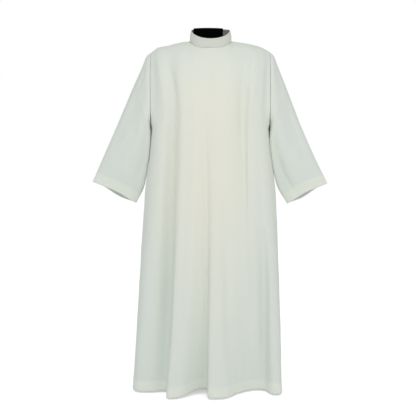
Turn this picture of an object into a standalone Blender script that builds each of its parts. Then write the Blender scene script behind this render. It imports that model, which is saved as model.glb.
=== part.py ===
"""An alb robe on a limbless dress form.

Metres, +Z up, +X to the viewer's right, the front towards -Y. The origin is on the floor,
under the middle of the form's round base. The garment is five pieces of cloth: front,
back, two sleeves and a stand collar. Every depth in the tables is measured forwards on
the front, and backwards on the back, from the plane that holds the shoulder and side seams.
"""
import math
from collections import namedtuple

import bmesh
import bpy
from mathutils import Vector

# Cloth and seams
CLOTH = 0.002
COLLAR_CLOTH = 0.0026
TURN_UP = 0.001
SEAM_GAP = 0.0003
SEAM_Y = -0.040

# Heights of the body
HEM_Z = 0.006
HEM_BAND = 0.050
HEM_RISE_TOP = 0.25
KNEE_Z = 0.45
WAIST_Z = 0.85
UNDERARM_Z = 1.130
CHEST_Z = 1.220

# Armhole
ARMHOLE_X = 0.250
ARMHOLE_DEPTH = 0.080
UNDERARM_EASE = 0.060

# Neckline and collar
NECK_MIDDLE_X = 0.0015
NECK_HALF_WIDTH = 0.0895
NECK_FRONT = 0.0945
NECK_BACK = 0.075
FRONT_ROUND = 2.4
BACK_ROUND = 3.0
RIM_MIDDLE_X = 0.0015
RIM_HALF_WIDTH = 0.0812
RIM_FRONT = 0.082
RIM_BACK = 0.068
COLLAR_BOW = 0.0028
COLLAR_RISE = 5
RimHeight = namedtuple("RimHeight", "back z")
RIM_HEIGHTS = [
    RimHeight(-0.082, 1.5030),
    RimHeight(-0.040, 1.5205),
    RimHeight(0.000, 1.5350),
    RimHeight(0.068, 1.5400),
]

# Sleeves
SLEEVE_CELLS = 26
CUFF_BAND = 0.047
CUFF_DIP = 0.018
CUFF_DIP_PLACE = 0.64
CUFF_DIP_WIDTH = 0.30
CUFF_DIP_START = 0.80
CAP_REACH = 0.30
UNDERSIDE_FULLNESS = 0.5
SLEEVE_LEAN = 0.012
LEAN_RISE = 0.30
LEAN_FALL = 0.60
FOLD_RISE = 0.15
FOLD_FALL = 0.20

# Form
FORM_GAP = 0.0006
FORM_NECK_EASE = 0.004
FORM_FLOOR_Z = 0.800
FORM_SHOULDER_X = 0.212
FORM_TOP_X = 0.074
FORM_MIDDLE_Y = SEAM_Y
NECK_BLOCK_X = -0.0086
NECK_BLOCK_HALF_WIDTH = 0.0617
NECK_BLOCK_HALF_DEPTH = 0.053
NECK_TOP_Z = 1.5450
NECK_EDGE = 0.0030
NECK_EDGE_STEPS = 4
NECK_DOME = 0.0022
NECK_DOME_RINGS = [0.75, 0.45, 0.12]
POLE_RADIUS = 0.016
BASE_RADIUS = 0.130
BASE_HEIGHT = 0.010
BASE_EDGE = 0.002
SOCKET_RADIUS = 0.027
SOCKET_HEIGHT = 0.034

# The ridge of the shoulders, seen from the front
Ridge = namedtuple("Ridge", "x z")
SHOULDER_RIDGE = [
    Ridge(-0.250, 1.4410),
    Ridge(-0.234, 1.4530),
    Ridge(-0.218, 1.4635),
    Ridge(-0.180, 1.4705),
    Ridge(-0.134, 1.4822),
    Ridge(-0.116, 1.4857),
    Ridge(-0.088, 1.4885),
    Ridge(0.000, 1.5100),
    Ridge(0.091, 1.4885),
    Ridge(0.134, 1.4825),
    Ridge(0.182, 1.4735),
    Ridge(0.212, 1.4650),
    Ridge(0.234, 1.4540),
    Ridge(0.250, 1.4440),
]

# The body's two sides below the underarm
Side = namedtuple("Side", "z left right")
SIDE_LINE = [
    Side(0.006, -0.3355, 0.3060),
    Side(0.100, -0.3285, 0.3045),
    Side(0.340, -0.3135, 0.3002),
    Side(0.600, -0.2972, 0.2914),
    Side(0.860, -0.2778, 0.2788),
    Side(1.000, -0.2612, 0.2612),
    Side(1.130, -0.2500, 0.2500),
]

# Lines that run down a panel, from its left to its right. Each has its number of cells to the
# next line, its place on the shoulder or neckline, and its place and depth at four heights.
Line = namedtuple("Line", "name cells top chest_x chest waist_x waist knee_x knee hem_x hem")
FRONT_LINES = [
    Line("left side", 3, -0.250, 0, 0, 0, 0, 0, 0, 0, 0),
    Line("left corner", 2, -0.238, -0.226, 0.092, -0.256, 0.102, -0.288, 0.124, -0.3205, 0.134),
    Line("left flat", 2, -0.217, -0.190, 0.121, -0.208, 0.136, -0.232, 0.143, -0.256, 0.146),
    Line("fold A", 3, -0.178, -0.1465, 0.122, -0.158, 0.127, -0.176, 0.130, -0.192, 0.140),
    Line("ridge one outer", 2, -0.130, -0.120, 0.146, -0.130, 0.163, -0.151, 0.188, -0.182, 0.228),
    Line("left neck point", 2, -0.088, -0.089, 0.151, -0.094, 0.168, -0.117, 0.193, -0.155, 0.230),
    Line("ridge one inner", 3, -0.058, -0.060, 0.153, -0.062, 0.168, -0.085, 0.188, -0.126, 0.220),
    Line("fold B lead", 1, -0.030, -0.032, 0.149, -0.032, 0.158, -0.040, 0.167, -0.050, 0.160),
    Line("fold B", 3, -0.019, -0.0205, 0.147, -0.0145, 0.153, -0.0175, 0.160, -0.0165, 0.157),
    Line("ridge two outer", 2, 0.002, 0.002, 0.154, 0.003, 0.163, -0.0015, 0.187, -0.007, 0.232),
    Line("ridge two crest", 2, 0.024, 0.023, 0.156, 0.022, 0.167, 0.022, 0.193, 0.028, 0.237),
    Line("ridge two inner", 3, 0.050, 0.049, 0.155, 0.047, 0.164, 0.052, 0.187, 0.070, 0.222),
    Line("right neck point", 3, 0.091, 0.089, 0.151, 0.092, 0.155, 0.101, 0.163, 0.119, 0.164),
    Line("fold C", 2, 0.150, 0.137, 0.125, 0.142, 0.142, 0.160, 0.137, 0.178, 0.121),
    Line("fold C ridge", 2, 0.185, 0.160, 0.138, 0.168, 0.149, 0.190, 0.135, 0.212, 0.115),
    Line("fold D", 2, 0.208, 0.198, 0.120, 0.215, 0.131, 0.222, 0.120, 0.236, 0.125),
    Line("right ridge", 2, 0.222, 0.213, 0.110, 0.237, 0.122, 0.254, 0.142, 0.264, 0.178),
    Line("right corner", 3, 0.238, 0.228, 0.090, 0.258, 0.101, 0.284, 0.126, 0.297, 0.176),
    Line("right side", 0, 0.250, 0, 0, 0, 0, 0, 0, 0, 0),
]
BACK_LINES = [
    Line("left side", 3, -0.250, 0, 0, 0, 0, 0, 0, 0, 0),
    Line("left corner", 2, -0.238, -0.227, 0.088, -0.257, 0.102, -0.286, 0.132, -0.314, 0.160),
    Line("left hang", 2, -0.210, -0.186, 0.117, -0.206, 0.130, -0.226, 0.152, -0.250, 0.188),
    Line("fold E", 3, -0.155, -0.140, 0.124, -0.152, 0.129, -0.170, 0.138, -0.186, 0.166),
    Line("left neck point", 3, -0.088, -0.091, 0.140, -0.104, 0.157, -0.122, 0.190, -0.138, 0.236),
    Line("fold F", 3, -0.050, -0.051, 0.136, -0.052, 0.141, -0.058, 0.157, -0.063, 0.190),
    Line("middle ridge", 3, 0.004, 0.003, 0.142, 0.004, 0.156, 0.010, 0.187, 0.016, 0.240),
    Line("fold G", 3, 0.052, 0.050, 0.137, 0.056, 0.141, 0.066, 0.152, 0.078, 0.184),
    Line("right neck point", 3, 0.091, 0.092, 0.140, 0.109, 0.157, 0.130, 0.189, 0.152, 0.230),
    Line("fold H", 3, 0.160, 0.146, 0.125, 0.162, 0.131, 0.182, 0.143, 0.200, 0.170),
    Line("right hang", 2, 0.210, 0.190, 0.116, 0.210, 0.130, 0.230, 0.156, 0.252, 0.194),
    Line("right corner", 3, 0.238, 0.228, 0.088, 0.257, 0.102, 0.281, 0.130, 0.295, 0.156),
    Line("right side", 0, 0.250, 0, 0, 0, 0, 0, 0, 0, 0),
]

# Rows of a panel: shares of the turn from the chest up to its top edge, then heights below the chest
SHOULDER_TURNS = [1.0, 0.95, 0.88, 0.78, 0.65, 0.51, 0.35, 0.18]
BODY_HEIGHTS = [
    1.220, 1.197, 1.174, 1.153, 1.138, 1.130, 1.085, 1.020, 0.940, 0.850, 0.760, 0.660, 0.555,
    0.450, 0.345, 0.240, 0.140, 0.056, 0.006,
]

# How far the front's hem rises at each place across, easing out at HEM_RISE_TOP
HemRise = namedtuple("HemRise", "x rise")
HEM_RISES = [
    HemRise(-0.1400, 0.000),
    HemRise(-0.0950, 0.006),
    HemRise(-0.0500, 0.016),
    HemRise(-0.0165, 0.015),
    HemRise(-0.0070, 0.000),
]

# A sleeve's two edges as seen from the front, shoulder to cuff, and its half depth
Reach = namedtuple("Reach", "along outer_x outer_z inner_x inner_z depth")
LEFT_SLEEVE = [
    Reach(0.000, -0.2502, 1.4410, -0.2502, 1.130, 0.080),
    Reach(0.025, -0.2660, 1.4285, -0.2512, 1.124, 0.081),
    Reach(0.10, -0.2855, 1.3830, -0.2532, 1.105, 0.080),
    Reach(0.30, -0.3330, 1.2790, -0.2594, 1.030, 0.068),
    Reach(0.55, -0.3940, 1.1390, -0.2685, 0.948, 0.052),
    Reach(0.78, -0.4500, 1.0140, -0.2840, 0.872, 0.038),
    Reach(1.00, -0.5030, 0.8960, -0.3173, 0.8042, 0.024),
]
RIGHT_SLEEVE = [
    Reach(0.000, 0.2502, 1.4440, 0.2502, 1.130, 0.080),
    Reach(0.025, 0.2640, 1.4315, 0.2512, 1.124, 0.081),
    Reach(0.10, 0.2815, 1.3900, 0.2532, 1.105, 0.080),
    Reach(0.30, 0.3270, 1.2780, 0.2594, 1.030, 0.068),
    Reach(0.55, 0.3860, 1.1310, 0.2680, 0.958, 0.052),
    Reach(0.78, 0.4420, 1.0060, 0.2852, 0.880, 0.038),
    Reach(1.00, 0.5010, 0.8890, 0.3290, 0.8010, 0.024),
]
SLEEVE_STATIONS = [0.0, 0.025, 0.06, 0.11, 0.18, 0.26, 0.36, 0.46, 0.56, 0.66, 0.75, 0.84, 0.92, 0.97, 1.0]

# Soft folds of the sleeves: turn is the place round the tube, in degrees from its outer edge
# by way of the front, and a depth below zero sinks in
SleeveFold = namedtuple("SleeveFold", "name turn_top turn_end start end width depth")
LEFT_SLEEVE_FOLDS = [
    SleeveFold("shoulder drop", 62, 58, 0.02, 0.55, 22, -0.010),
    SleeveFold("front ridge", 100, 78, 0.05, 0.95, 30, 0.007),
    SleeveFold("inner tuck", 128, 122, 0.10, 0.85, 20, -0.009),
    SleeveFold("back hollow", 250, 262, 0.08, 0.85, 26, -0.009),
    SleeveFold("back ridge", 292, 300, 0.10, 0.95, 24, 0.006),
]
RIGHT_SLEEVE_FOLDS = [
    SleeveFold("shoulder drop", 50, 66, 0.04, 0.70, 24, -0.009),
    SleeveFold("front ridge", 92, 104, 0.06, 0.95, 28, 0.007),
    SleeveFold("inner tuck", 130, 138, 0.20, 0.96, 16, -0.009),
    SleeveFold("back hollow", 256, 250, 0.10, 0.80, 26, -0.009),
    SleeveFold("back ridge", 300, 296, 0.08, 0.95, 22, 0.006),
]

# The form's torso below its shoulders: half width and half depth at each height
TorsoRing = namedtuple("TorsoRing", "z half_width half_depth")
TORSO_RINGS = [
    TorsoRing(0.800, 0.150, 0.098),
    TorsoRing(0.808, 0.160, 0.106),
    TorsoRing(0.880, 0.168, 0.112),
    TorsoRing(0.960, 0.160, 0.106),
    TorsoRing(1.050, 0.150, 0.100),
    TorsoRing(1.150, 0.162, 0.108),
    TorsoRing(1.250, 0.182, 0.114),
    TorsoRing(1.340, 0.198, 0.104),
    TorsoRing(1.400, 0.208, 0.090),
    TorsoRing(1.435, 0.2125, 0.078),
]
SHOULDER_STEPS = [0.2120, 0.205, 0.190, 0.165, 0.135, 0.105, 0.074]
SHOULDER_HALF_DEPTH = 0.057
FORM_TOP_HALF_DEPTH = 0.049
FORM_CELLS = 36
POLE_SIDES = 32
BASE_SIDES = 48

# Colours and finishes
Finish = namedtuple("Finish", "name colour roughness metallic")
IVORY = Finish("ivory cloth", (0.74, 0.75, 0.68, 1.0), 0.85, 0.0)
COLLAR_IVORY = Finish("ivory collar", (0.70, 0.70, 0.62, 1.0), 0.85, 0.0)
BLACK_COVER = Finish("black form cover", (0.012, 0.012, 0.012, 1.0), 0.75, 0.0)
BLACK_STEEL = Finish("black steel", (0.020, 0.020, 0.022, 1.0), 0.45, 0.6)


def smooth_step(value):
    value = min(1.0, max(0.0, value))
    return value * value * (3.0 - 2.0 * value)


def slopes_of(places, values, flat_end):
    """Slopes of a curve through the values that never overshoots them."""
    count = len(places)
    steps = [(values[i + 1] - values[i]) / (places[i + 1] - places[i]) for i in range(count - 1)]
    slopes = [steps[0]]
    for i in range(1, count - 1):
        both = steps[i - 1] * steps[i]
        slopes.append(2.0 * both / (steps[i - 1] + steps[i]) if both > 0.0 else 0.0)
    slopes.append(0.0 if flat_end else steps[-1])
    return slopes


def curve_at(places, values, at, flat_end=False):
    """Value at one place on the smooth curve through the values; places increase."""
    at = min(places[-1], max(places[0], at))
    slopes = slopes_of(places, values, flat_end)
    span = 0
    while span < len(places) - 2 and at > places[span + 1]:
        span += 1
    width = places[span + 1] - places[span]
    t = (at - places[span]) / width
    return (
        values[span] * (2 * t ** 3 - 3 * t ** 2 + 1)
        + slopes[span] * width * (t ** 3 - 2 * t ** 2 + t)
        + values[span + 1] * (3 * t ** 2 - 2 * t ** 3)
        + slopes[span + 1] * width * (t ** 3 - t ** 2)
    )


def ridge_height(x):
    return curve_at([row.x for row in SHOULDER_RIDGE], [row.z for row in SHOULDER_RIDGE], x)


def side_x(z, right):
    values = [row.right if right else row.left for row in SIDE_LINE]
    return curve_at([row.z for row in SIDE_LINE], values, z)


def line_at(line, z):
    """Place across and depth of a line at one height below the chest."""
    heights = [HEM_Z, KNEE_Z, WAIST_Z, CHEST_Z]
    x = curve_at(heights, [line.hem_x, line.knee_x, line.waist_x, line.chest_x], z, True)
    depth = curve_at(heights, [line.hem, line.knee, line.waist, line.chest], z, True)
    return x, depth


def edge_at(right, z):
    """Place across and depth of a panel's edge: the armhole, then the side seam."""
    if z <= UNDERARM_Z:
        return side_x(z, right), 0.0
    drop = (CHEST_Z - z) / (CHEST_Z - UNDERARM_Z)
    depth = ARMHOLE_DEPTH * math.sqrt(max(0.0, 1.0 - drop * drop))
    return (ARMHOLE_X if right else -ARMHOLE_X), depth


def past_edge(edge, inner, z):
    """A point beyond the edge, which sets the direction in which the cloth reaches it."""
    open_edge = (2 * edge[0] - inner[0], 2 * edge[1] - inner[1])
    closed_edge = (inner[0], -inner[1])
    share = smooth_step((z - UNDERARM_Z) / UNDERARM_EASE)
    return (
        closed_edge[0] + share * (open_edge[0] - closed_edge[0]),
        closed_edge[1] + share * (open_edge[1] - closed_edge[1]),
    )


def spline_point(before, start, end, after, t):
    """Centripetal curve from start to end, as a pair of numbers."""
    knots = [0.0]
    for a, b in ((before, start), (start, end), (end, after)):
        knots.append(knots[-1] + max(1e-4, math.hypot(b[0] - a[0], b[1] - a[1]) ** 0.5))
    at = knots[1] + t * (knots[2] - knots[1])
    result = []
    for axis in (0, 1):
        p = [before[axis], start[axis], end[axis], after[axis]]
        a = [
            (knots[i + 1] - at) / (knots[i + 1] - knots[i]) * p[i]
            + (at - knots[i]) / (knots[i + 1] - knots[i]) * p[i + 1]
            for i in range(3)
        ]
        b = [
            (knots[i + 2] - at) / (knots[i + 2] - knots[i]) * a[i]
            + (at - knots[i]) / (knots[i + 2] - knots[i]) * a[i + 1]
            for i in range(2)
        ]
        c = (knots[2] - at) / (knots[2] - knots[1]) * b[0]
        c += (at - knots[1]) / (knots[2] - knots[1]) * b[1]
        result.append(c)
    return tuple(result)


def cells_across(lines, points, before, after):
    """Points of one row: each stretch between two lines is cut into its own number of cells."""
    chain = [before] + points + [after]
    row = []
    for index, line in enumerate(lines[:-1]):
        for cell in range(line.cells):
            share = cell / line.cells
            row.append(spline_point(*chain[index:index + 4], share))
    row.append(points[-1])
    return row


def body_row(lines, z):
    """Place across and depth of each point of a panel at one height."""
    inner = [line_at(line, z) for line in lines[1:-1]]
    left = edge_at(False, z)
    right = edge_at(True, z)
    before = past_edge(left, inner[0], z)
    after = past_edge(right, inner[-1], z)
    return cells_across(lines, [left] + inner + [right], before, after)


def top_places(lines):
    """Place across of each column where it meets the shoulder seam or the neckline."""
    tops = [(line.top, 0.0) for line in lines]
    before = (2 * tops[0][0] - tops[1][0], 0.0)
    after = (2 * tops[-1][0] - tops[-2][0], 0.0)
    return [point[0] for point in cells_across(lines, tops, before, after)]


def neck_reach(x, reach):
    """Depth of the neckline at one place across, zero beyond the neck points."""
    share = (x - NECK_MIDDLE_X) / NECK_HALF_WIDTH
    return reach * math.sqrt(max(0.0, 1.0 - share * share))


def over_shoulder(top_x, chest, turn, roundness, reach):
    """A point between the chest and the top edge; turn is 0 at the chest and 1 at the edge."""
    start = math.pi / 2.0
    opening = neck_reach(top_x, reach)
    if opening > 0.0:
        start = math.acos((opening / chest[1]) ** (roundness / 2.0))
    angle = start * turn
    rise = math.sin(angle) ** (2.0 / roundness)
    depth = chest[1] * max(0.0, math.cos(angle)) ** (2.0 / roundness)
    if turn == 1.0 and opening == 0.0:
        depth = 0.0
    x = chest[0] + (top_x - chest[0]) * rise
    z = CHEST_Z + (ridge_height(x) - CHEST_Z) * rise
    return x, depth, z


def hem_rise(x):
    """How far the front's hem rises at one place across."""
    return curve_at([row.x for row in HEM_RISES], [row.rise for row in HEM_RISES], x)


def panel_grid(lines, roundness, reach, towards):
    """Outer points of the front or back, row by row from the top edge to the hem."""
    tops = top_places(lines)
    chest = body_row(lines, CHEST_Z)
    rises = [hem_rise(x) if towards < 0.0 else 0.0 for x, depth in body_row(lines, HEM_Z)]
    rows = []
    for turn in SHOULDER_TURNS:
        rows.append([over_shoulder(t, c, turn, roundness, reach) for t, c in zip(tops, chest)])
    for z in BODY_HEIGHTS:
        share = smooth_step((HEM_RISE_TOP - z) / (HEM_RISE_TOP - HEM_Z))
        rows.append([(x, d, z + share * rise) for (x, d), rise in zip(body_row(lines, z), rises)])
    half_gap = SEAM_GAP / 2.0
    grid = []
    for row in rows:
        placed = []
        for x, depth, z in row:
            x = min(ARMHOLE_X - half_gap, max(half_gap - ARMHOLE_X, x)) if z >= UNDERARM_Z else x
            placed.append(Vector((x, SEAM_Y + towards * max(depth, half_gap), z)))
        grid.append(placed)
    return grid


def grid_normals(grid, closed, outward):
    """Direction away from the body at each point of a grid."""
    rows, columns = len(grid), len(grid[0])
    normals = []
    for r in range(rows):
        line = []
        for c in range(columns):
            up = grid[max(0, r - 1)][c]
            down = grid[min(rows - 1, r + 1)][c]
            left = grid[r][(c - 1) % columns] if closed else grid[r][max(0, c - 1)]
            right = grid[r][(c + 1) % columns] if closed else grid[r][min(columns - 1, c + 1)]
            normal = (down - up).cross(right - left)
            line.append(normal.normalized() * outward)
        normals.append(line)
    return normals


def flatten(normal, axis):
    """The same direction turned into a seam's plane."""
    normal[axis] = 0.0
    normal.normalize()


def add_object(name, bm, finish, collection):
    bmesh.ops.recalc_face_normals(bm, faces=bm.faces)
    mesh = bpy.data.meshes.new(name)
    bm.to_mesh(mesh)
    bm.free()
    mesh.shade_smooth()
    mesh.set_sharp_from_angle(angle=math.radians(50.0))
    piece = bpy.data.objects.new(name, mesh)
    collection.objects.link(piece)
    give_finish(piece, finish)
    return piece


def give_finish(piece, finish):
    material = bpy.data.materials.new(piece.name + " " + finish.name)
    material.use_nodes = True
    shader = material.node_tree.nodes["Principled BSDF"]
    shader.inputs["Base Color"].default_value = finish.colour
    shader.inputs["Roughness"].default_value = finish.roughness
    shader.inputs["Metallic"].default_value = finish.metallic
    piece.data.materials.append(material)


def cloth_wall(name, grid, normals, closed, thickness, finish, collection):
    """A wall of cloth: the grid's points, their copies set inwards, and the cut edges."""
    bm = bmesh.new()
    rows, columns = len(grid), len(grid[0])
    outer = [[bm.verts.new(point) for point in row] for row in grid]
    inner = []
    for r in range(rows):
        deep = thickness[r]
        inner.append([bm.verts.new(grid[r][c] - normals[r][c] * deep) for c in range(columns)])
    across = columns if closed else columns - 1
    for r in range(rows - 1):
        for c in range(across):
            n = (c + 1) % columns
            bm.faces.new((outer[r][c], outer[r][n], outer[r + 1][n], outer[r + 1][c]))
            bm.faces.new((inner[r][c], inner[r + 1][c], inner[r + 1][n], inner[r][n]))
    for c in range(across):
        n = (c + 1) % columns
        bm.faces.new((outer[0][c], inner[0][c], inner[0][n], outer[0][n]))
        bm.faces.new((outer[-1][c], outer[-1][n], inner[-1][n], inner[-1][c]))
    if not closed:
        for r in range(rows - 1):
            bm.faces.new((outer[r][0], outer[r + 1][0], inner[r + 1][0], inner[r][0]))
            bm.faces.new((outer[r][-1], inner[r][-1], inner[r + 1][-1], outer[r + 1][-1]))
    return add_object(name, bm, finish, collection)


def make_panel(name, lines, roundness, reach, towards, collection):
    grid = panel_grid(lines, roundness, reach, towards)
    normals = grid_normals(grid, False, -towards)
    for top, normal in zip(top_places(lines), normals[0]):
        if neck_reach(top, reach) == 0.0:
            flatten(normal, 1)
    for row, turned in zip(grid, normals):
        if row[0].z <= UNDERARM_Z:
            flatten(turned[0], 1)
            flatten(turned[-1], 1)
    thickness = [CLOTH + (TURN_UP if row[0].z <= HEM_BAND + HEM_Z else 0.0) for row in grid]
    return cloth_wall(name, grid, normals, False, thickness, IVORY, collection)


def sleeve_reach(reaches, along):
    """Outer edge, inner edge and half depth at one share of the sleeve's length."""
    places = [row.along for row in reaches]
    values = []
    for column in ("outer_x", "outer_z", "inner_x", "inner_z", "depth"):
        values.append(curve_at(places, [getattr(row, column) for row in reaches], along))
    outer = Vector((values[0], SEAM_Y, values[1]))
    inner = Vector((values[2], SEAM_Y, values[3]))
    return outer, inner, values[4]


def armhole_point(turn, right):
    """A point of the armhole; turn runs from the shoulder by the front to the underarm."""
    x = (ARMHOLE_X + SEAM_GAP / 2.0) * (1.0 if right else -1.0)
    top = ridge_height(ARMHOLE_X if right else -ARMHOLE_X)
    towards = -1.0 if math.sin(turn) >= 0.0 else 1.0
    roundness = FRONT_ROUND if towards < 0.0 else BACK_ROUND
    down = math.cos(turn)
    if down >= 0.0:
        z = CHEST_Z + (top - CHEST_Z) * down ** (2.0 / roundness)
        depth = ARMHOLE_DEPTH * abs(math.sin(turn)) ** (2.0 / roundness)
    else:
        z = CHEST_Z + (CHEST_Z - UNDERARM_Z) * down
        depth = ARMHOLE_DEPTH * abs(math.sin(turn))
    return Vector((x, SEAM_Y + towards * depth, z))


def fold_lift(folds, degrees, along):
    """How far the sleeve's folds raise or sink one of its points."""
    lift = 0.0
    for fold in folds:
        middle = fold.turn_top + (fold.turn_end - fold.turn_top) * along
        across = math.exp(-((degrees - middle) / fold.width) ** 2)
        rise = smooth_step((along - fold.start) / FOLD_RISE)
        fall = smooth_step((fold.end - along) / FOLD_FALL)
        lift += fold.depth * across * rise * fall
    return lift


def cuff_dip(turn, along):
    """How much longer the back of the sleeve hangs towards its cuff."""
    place = (1.0 - math.cos(turn)) / 2.0
    across = math.exp(-((place - CUFF_DIP_PLACE) / CUFF_DIP_WIDTH) ** 2)
    edge = min(1.0, -2.0 * math.sin(turn))
    return CUFF_DIP * across * edge * smooth_step((along - CUFF_DIP_START) / (1.0 - CUFF_DIP_START))


def sleeve_forward(turn):
    """Share of a sleeve's half depth at one place round it, fuller where it lies by the body."""
    forward = math.sin(turn)
    fullness = UNDERSIDE_FULLNESS if math.cos(turn) < 0.0 else 1.0
    return math.copysign(abs(forward) ** fullness, forward)


def sleeve_lean(turn, along):
    """How far the inner half of a sleeve's front leans in over the body's side."""
    forward = max(0.0, sleeve_forward(turn))
    inward = (1.0 - math.cos(turn)) / 2.0
    rise = smooth_step(along / LEAN_RISE)
    fall = 1.0 - smooth_step((along - LEAN_FALL) / (1.0 - LEAN_FALL))
    return SLEEVE_LEAN * forward * forward * inward * rise * fall


def sleeve_grid(reaches, folds, right):
    """Outer points of a sleeve, ring by ring from the armhole to the cuff."""
    side = 1.0 if right else -1.0
    start = sleeve_reach(reaches, 0.0)
    grid = []
    for along in SLEEVE_STATIONS:
        outer, inner, depth = sleeve_reach(reaches, along)
        middle = (outer + inner) / 2.0
        half = (outer - inner) / 2.0
        down = Vector((-half.z, 0.0, half.x)).normalized() * -side
        share = 1.0 - smooth_step(along / CAP_REACH)
        ring = []
        for cell in range(SLEEVE_CELLS):
            turn = 2.0 * math.pi * cell / SLEEVE_CELLS
            forward = math.sin(turn)
            lift = fold_lift(folds, math.degrees(turn), along)
            start_point = (start[0] + start[1]) / 2.0 + (start[0] - start[1]) / 2.0 * math.cos(turn)
            start_point.y -= start[2] * sleeve_forward(turn)
            tube = middle + half * math.cos(turn)
            tube.y -= depth * sleeve_forward(turn) + lift * forward
            tube.x -= side * sleeve_lean(turn, along)
            if forward < 0.0:
                tube += down * cuff_dip(turn, along)
            ring.append(tube + (armhole_point(turn, right) - start_point) * share)
        grid.append(ring)
    return grid


def make_sleeve(name, reaches, folds, right, collection):
    grid = sleeve_grid(reaches, folds, right)
    normals = grid_normals(grid, True, -1.0 if right else 1.0)
    for normal in normals[0]:
        flatten(normal, 0)
    length = (sleeve_reach(reaches, 1.0)[0] - sleeve_reach(reaches, 0.0)[0]).length
    band_start = 1.0 - CUFF_BAND / length
    thickness = [CLOTH + (TURN_UP if s >= band_start else 0.0) for s in SLEEVE_STATIONS]
    return cloth_wall(name, grid, normals, True, thickness, IVORY, collection)


def neckline_loop():
    """The neckline's points from the centre back by the left to the front and round again."""
    front = panel_grid(FRONT_LINES, FRONT_ROUND, NECK_FRONT, -1.0)[0]
    back = panel_grid(BACK_LINES, BACK_ROUND, NECK_BACK, 1.0)[0]
    reach = NECK_HALF_WIDTH + SEAM_GAP
    front = [p for p in front if abs(p.x - NECK_MIDDLE_X) < reach]
    back = [p for p in back if abs(p.x - NECK_MIDDLE_X) < NECK_HALF_WIDTH - SEAM_GAP]
    middle = len(back) // 2
    chain = back[middle::-1] + front + back[:middle - 1:-1]
    loop = []
    for point, following in zip(chain, chain[1:]):
        loop += [point, (point + following) / 2.0]
    loop.append(chain[-1])
    ends = Vector((SEAM_GAP / 2.0, 0.0, 0.0))
    loop[0] = loop[0] - ends
    loop[-1] = loop[-1] + ends
    return [point + Vector((0.0, 0.0, SEAM_GAP)) for point in loop]


def rim_turn(point):
    """Where on the rim a neckline point leads; zero is the centre back, and left comes first."""
    across = (NECK_MIDDLE_X - point.x) / NECK_HALF_WIDTH
    away = point.y - SEAM_Y
    return math.atan2(across, away / (NECK_BACK if away >= 0.0 else NECK_FRONT))


def rim_point(turn):
    """A point of the collar's folded top edge."""
    x = RIM_MIDDLE_X - RIM_HALF_WIDTH * math.sin(turn)
    away = math.cos(turn)
    y = away * (RIM_BACK if away >= 0.0 else RIM_FRONT)
    z = curve_at([row.back for row in RIM_HEIGHTS], [row.z for row in RIM_HEIGHTS], y)
    return Vector((x, SEAM_Y + y, z))


def make_collar(collection):
    loop = neckline_loop()
    grid = []
    for step in range(COLLAR_RISE + 1):
        share = 1.0 - step / COLLAR_RISE
        row = []
        for point in loop:
            turn = rim_turn(point)
            away = Vector((-math.sin(turn), math.cos(turn), 0.0))
            bow = COLLAR_BOW * math.sin(math.pi * share)
            row.append(point.lerp(rim_point(turn), share) + away * bow)
        grid.append(row)
    normals = grid_normals(grid, False, 1.0)
    for row in normals:
        for normal in row:
            flatten(normal, 2)
        flatten(row[0], 0)
        flatten(row[-1], 0)
    thickness = [COLLAR_CLOTH] * len(grid)
    return cloth_wall("collar", grid, normals, False, thickness, COLLAR_IVORY, collection)


def ring_stack(name, rings, middle, finish, collection):
    """A closed body through level oval rings, each a height, a half width and a half depth."""
    bm = bmesh.new()
    loops = []
    for z, half_width, half_depth in rings:
        loop = []
        for cell in range(FORM_CELLS):
            turn = 2.0 * math.pi * cell / FORM_CELLS
            x = middle[0] + half_width * math.cos(turn)
            y = middle[1] + half_depth * math.sin(turn)
            loop.append(bm.verts.new((x, y, z)))
        loops.append(loop)
    for lower, upper in zip(loops, loops[1:]):
        for c in range(FORM_CELLS):
            n = (c + 1) % FORM_CELLS
            bm.faces.new((lower[c], lower[n], upper[n], upper[c]))
    bm.faces.new(list(reversed(loops[0])))
    bm.faces.new(loops[-1])
    return add_object(name, bm, finish, collection)


def under_ridge(x):
    """Height just under the cloth of the shoulder, whose wall is measured square to its slope."""
    step = 0.002
    slope = (ridge_height(x + step) - ridge_height(x - step)) / (2.0 * step)
    return ridge_height(x) - (CLOTH + FORM_GAP) * math.hypot(1.0, slope)


def form_top_z(x):
    """Height of the form's shoulder at one distance from the middle, the lower of its two sides."""
    ease = FORM_NECK_EASE * (FORM_SHOULDER_X - x) / (FORM_SHOULDER_X - FORM_TOP_X)
    return min(under_ridge(x), under_ridge(-x)) - ease


def make_torso(collection):
    rings = [(row.z, row.half_width, row.half_depth) for row in TORSO_RINGS]
    for half_width in SHOULDER_STEPS:
        share = (half_width - FORM_TOP_X) / (FORM_SHOULDER_X - FORM_TOP_X)
        half_depth = FORM_TOP_HALF_DEPTH + (SHOULDER_HALF_DEPTH - FORM_TOP_HALF_DEPTH) * share
        rings.append((form_top_z(half_width), half_width, half_depth))
    return ring_stack("form_torso", rings, (0.0, FORM_MIDDLE_Y), BLACK_COVER, collection)


def make_neck_block(collection):
    floor = form_top_z(FORM_TOP_X) + SEAM_GAP
    side_top = NECK_TOP_Z - NECK_DOME
    rings = [(floor, NECK_BLOCK_HALF_WIDTH, NECK_BLOCK_HALF_DEPTH)]
    for step in range(NECK_EDGE_STEPS + 1):
        turn = math.pi / 2.0 * step / NECK_EDGE_STEPS
        inset = NECK_EDGE * (1.0 - math.cos(turn))
        z = side_top - NECK_EDGE * (1.0 - math.sin(turn))
        rings.append((z, NECK_BLOCK_HALF_WIDTH - inset, NECK_BLOCK_HALF_DEPTH - inset))
    for share in NECK_DOME_RINGS:
        z = side_top + NECK_DOME * (1.0 - share * share)
        rings.append((z, NECK_BLOCK_HALF_WIDTH * share, NECK_BLOCK_HALF_DEPTH * share))
    middle = (NECK_BLOCK_X, FORM_MIDDLE_Y)
    return ring_stack("form_neck_block", rings, middle, BLACK_COVER, collection)


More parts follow.
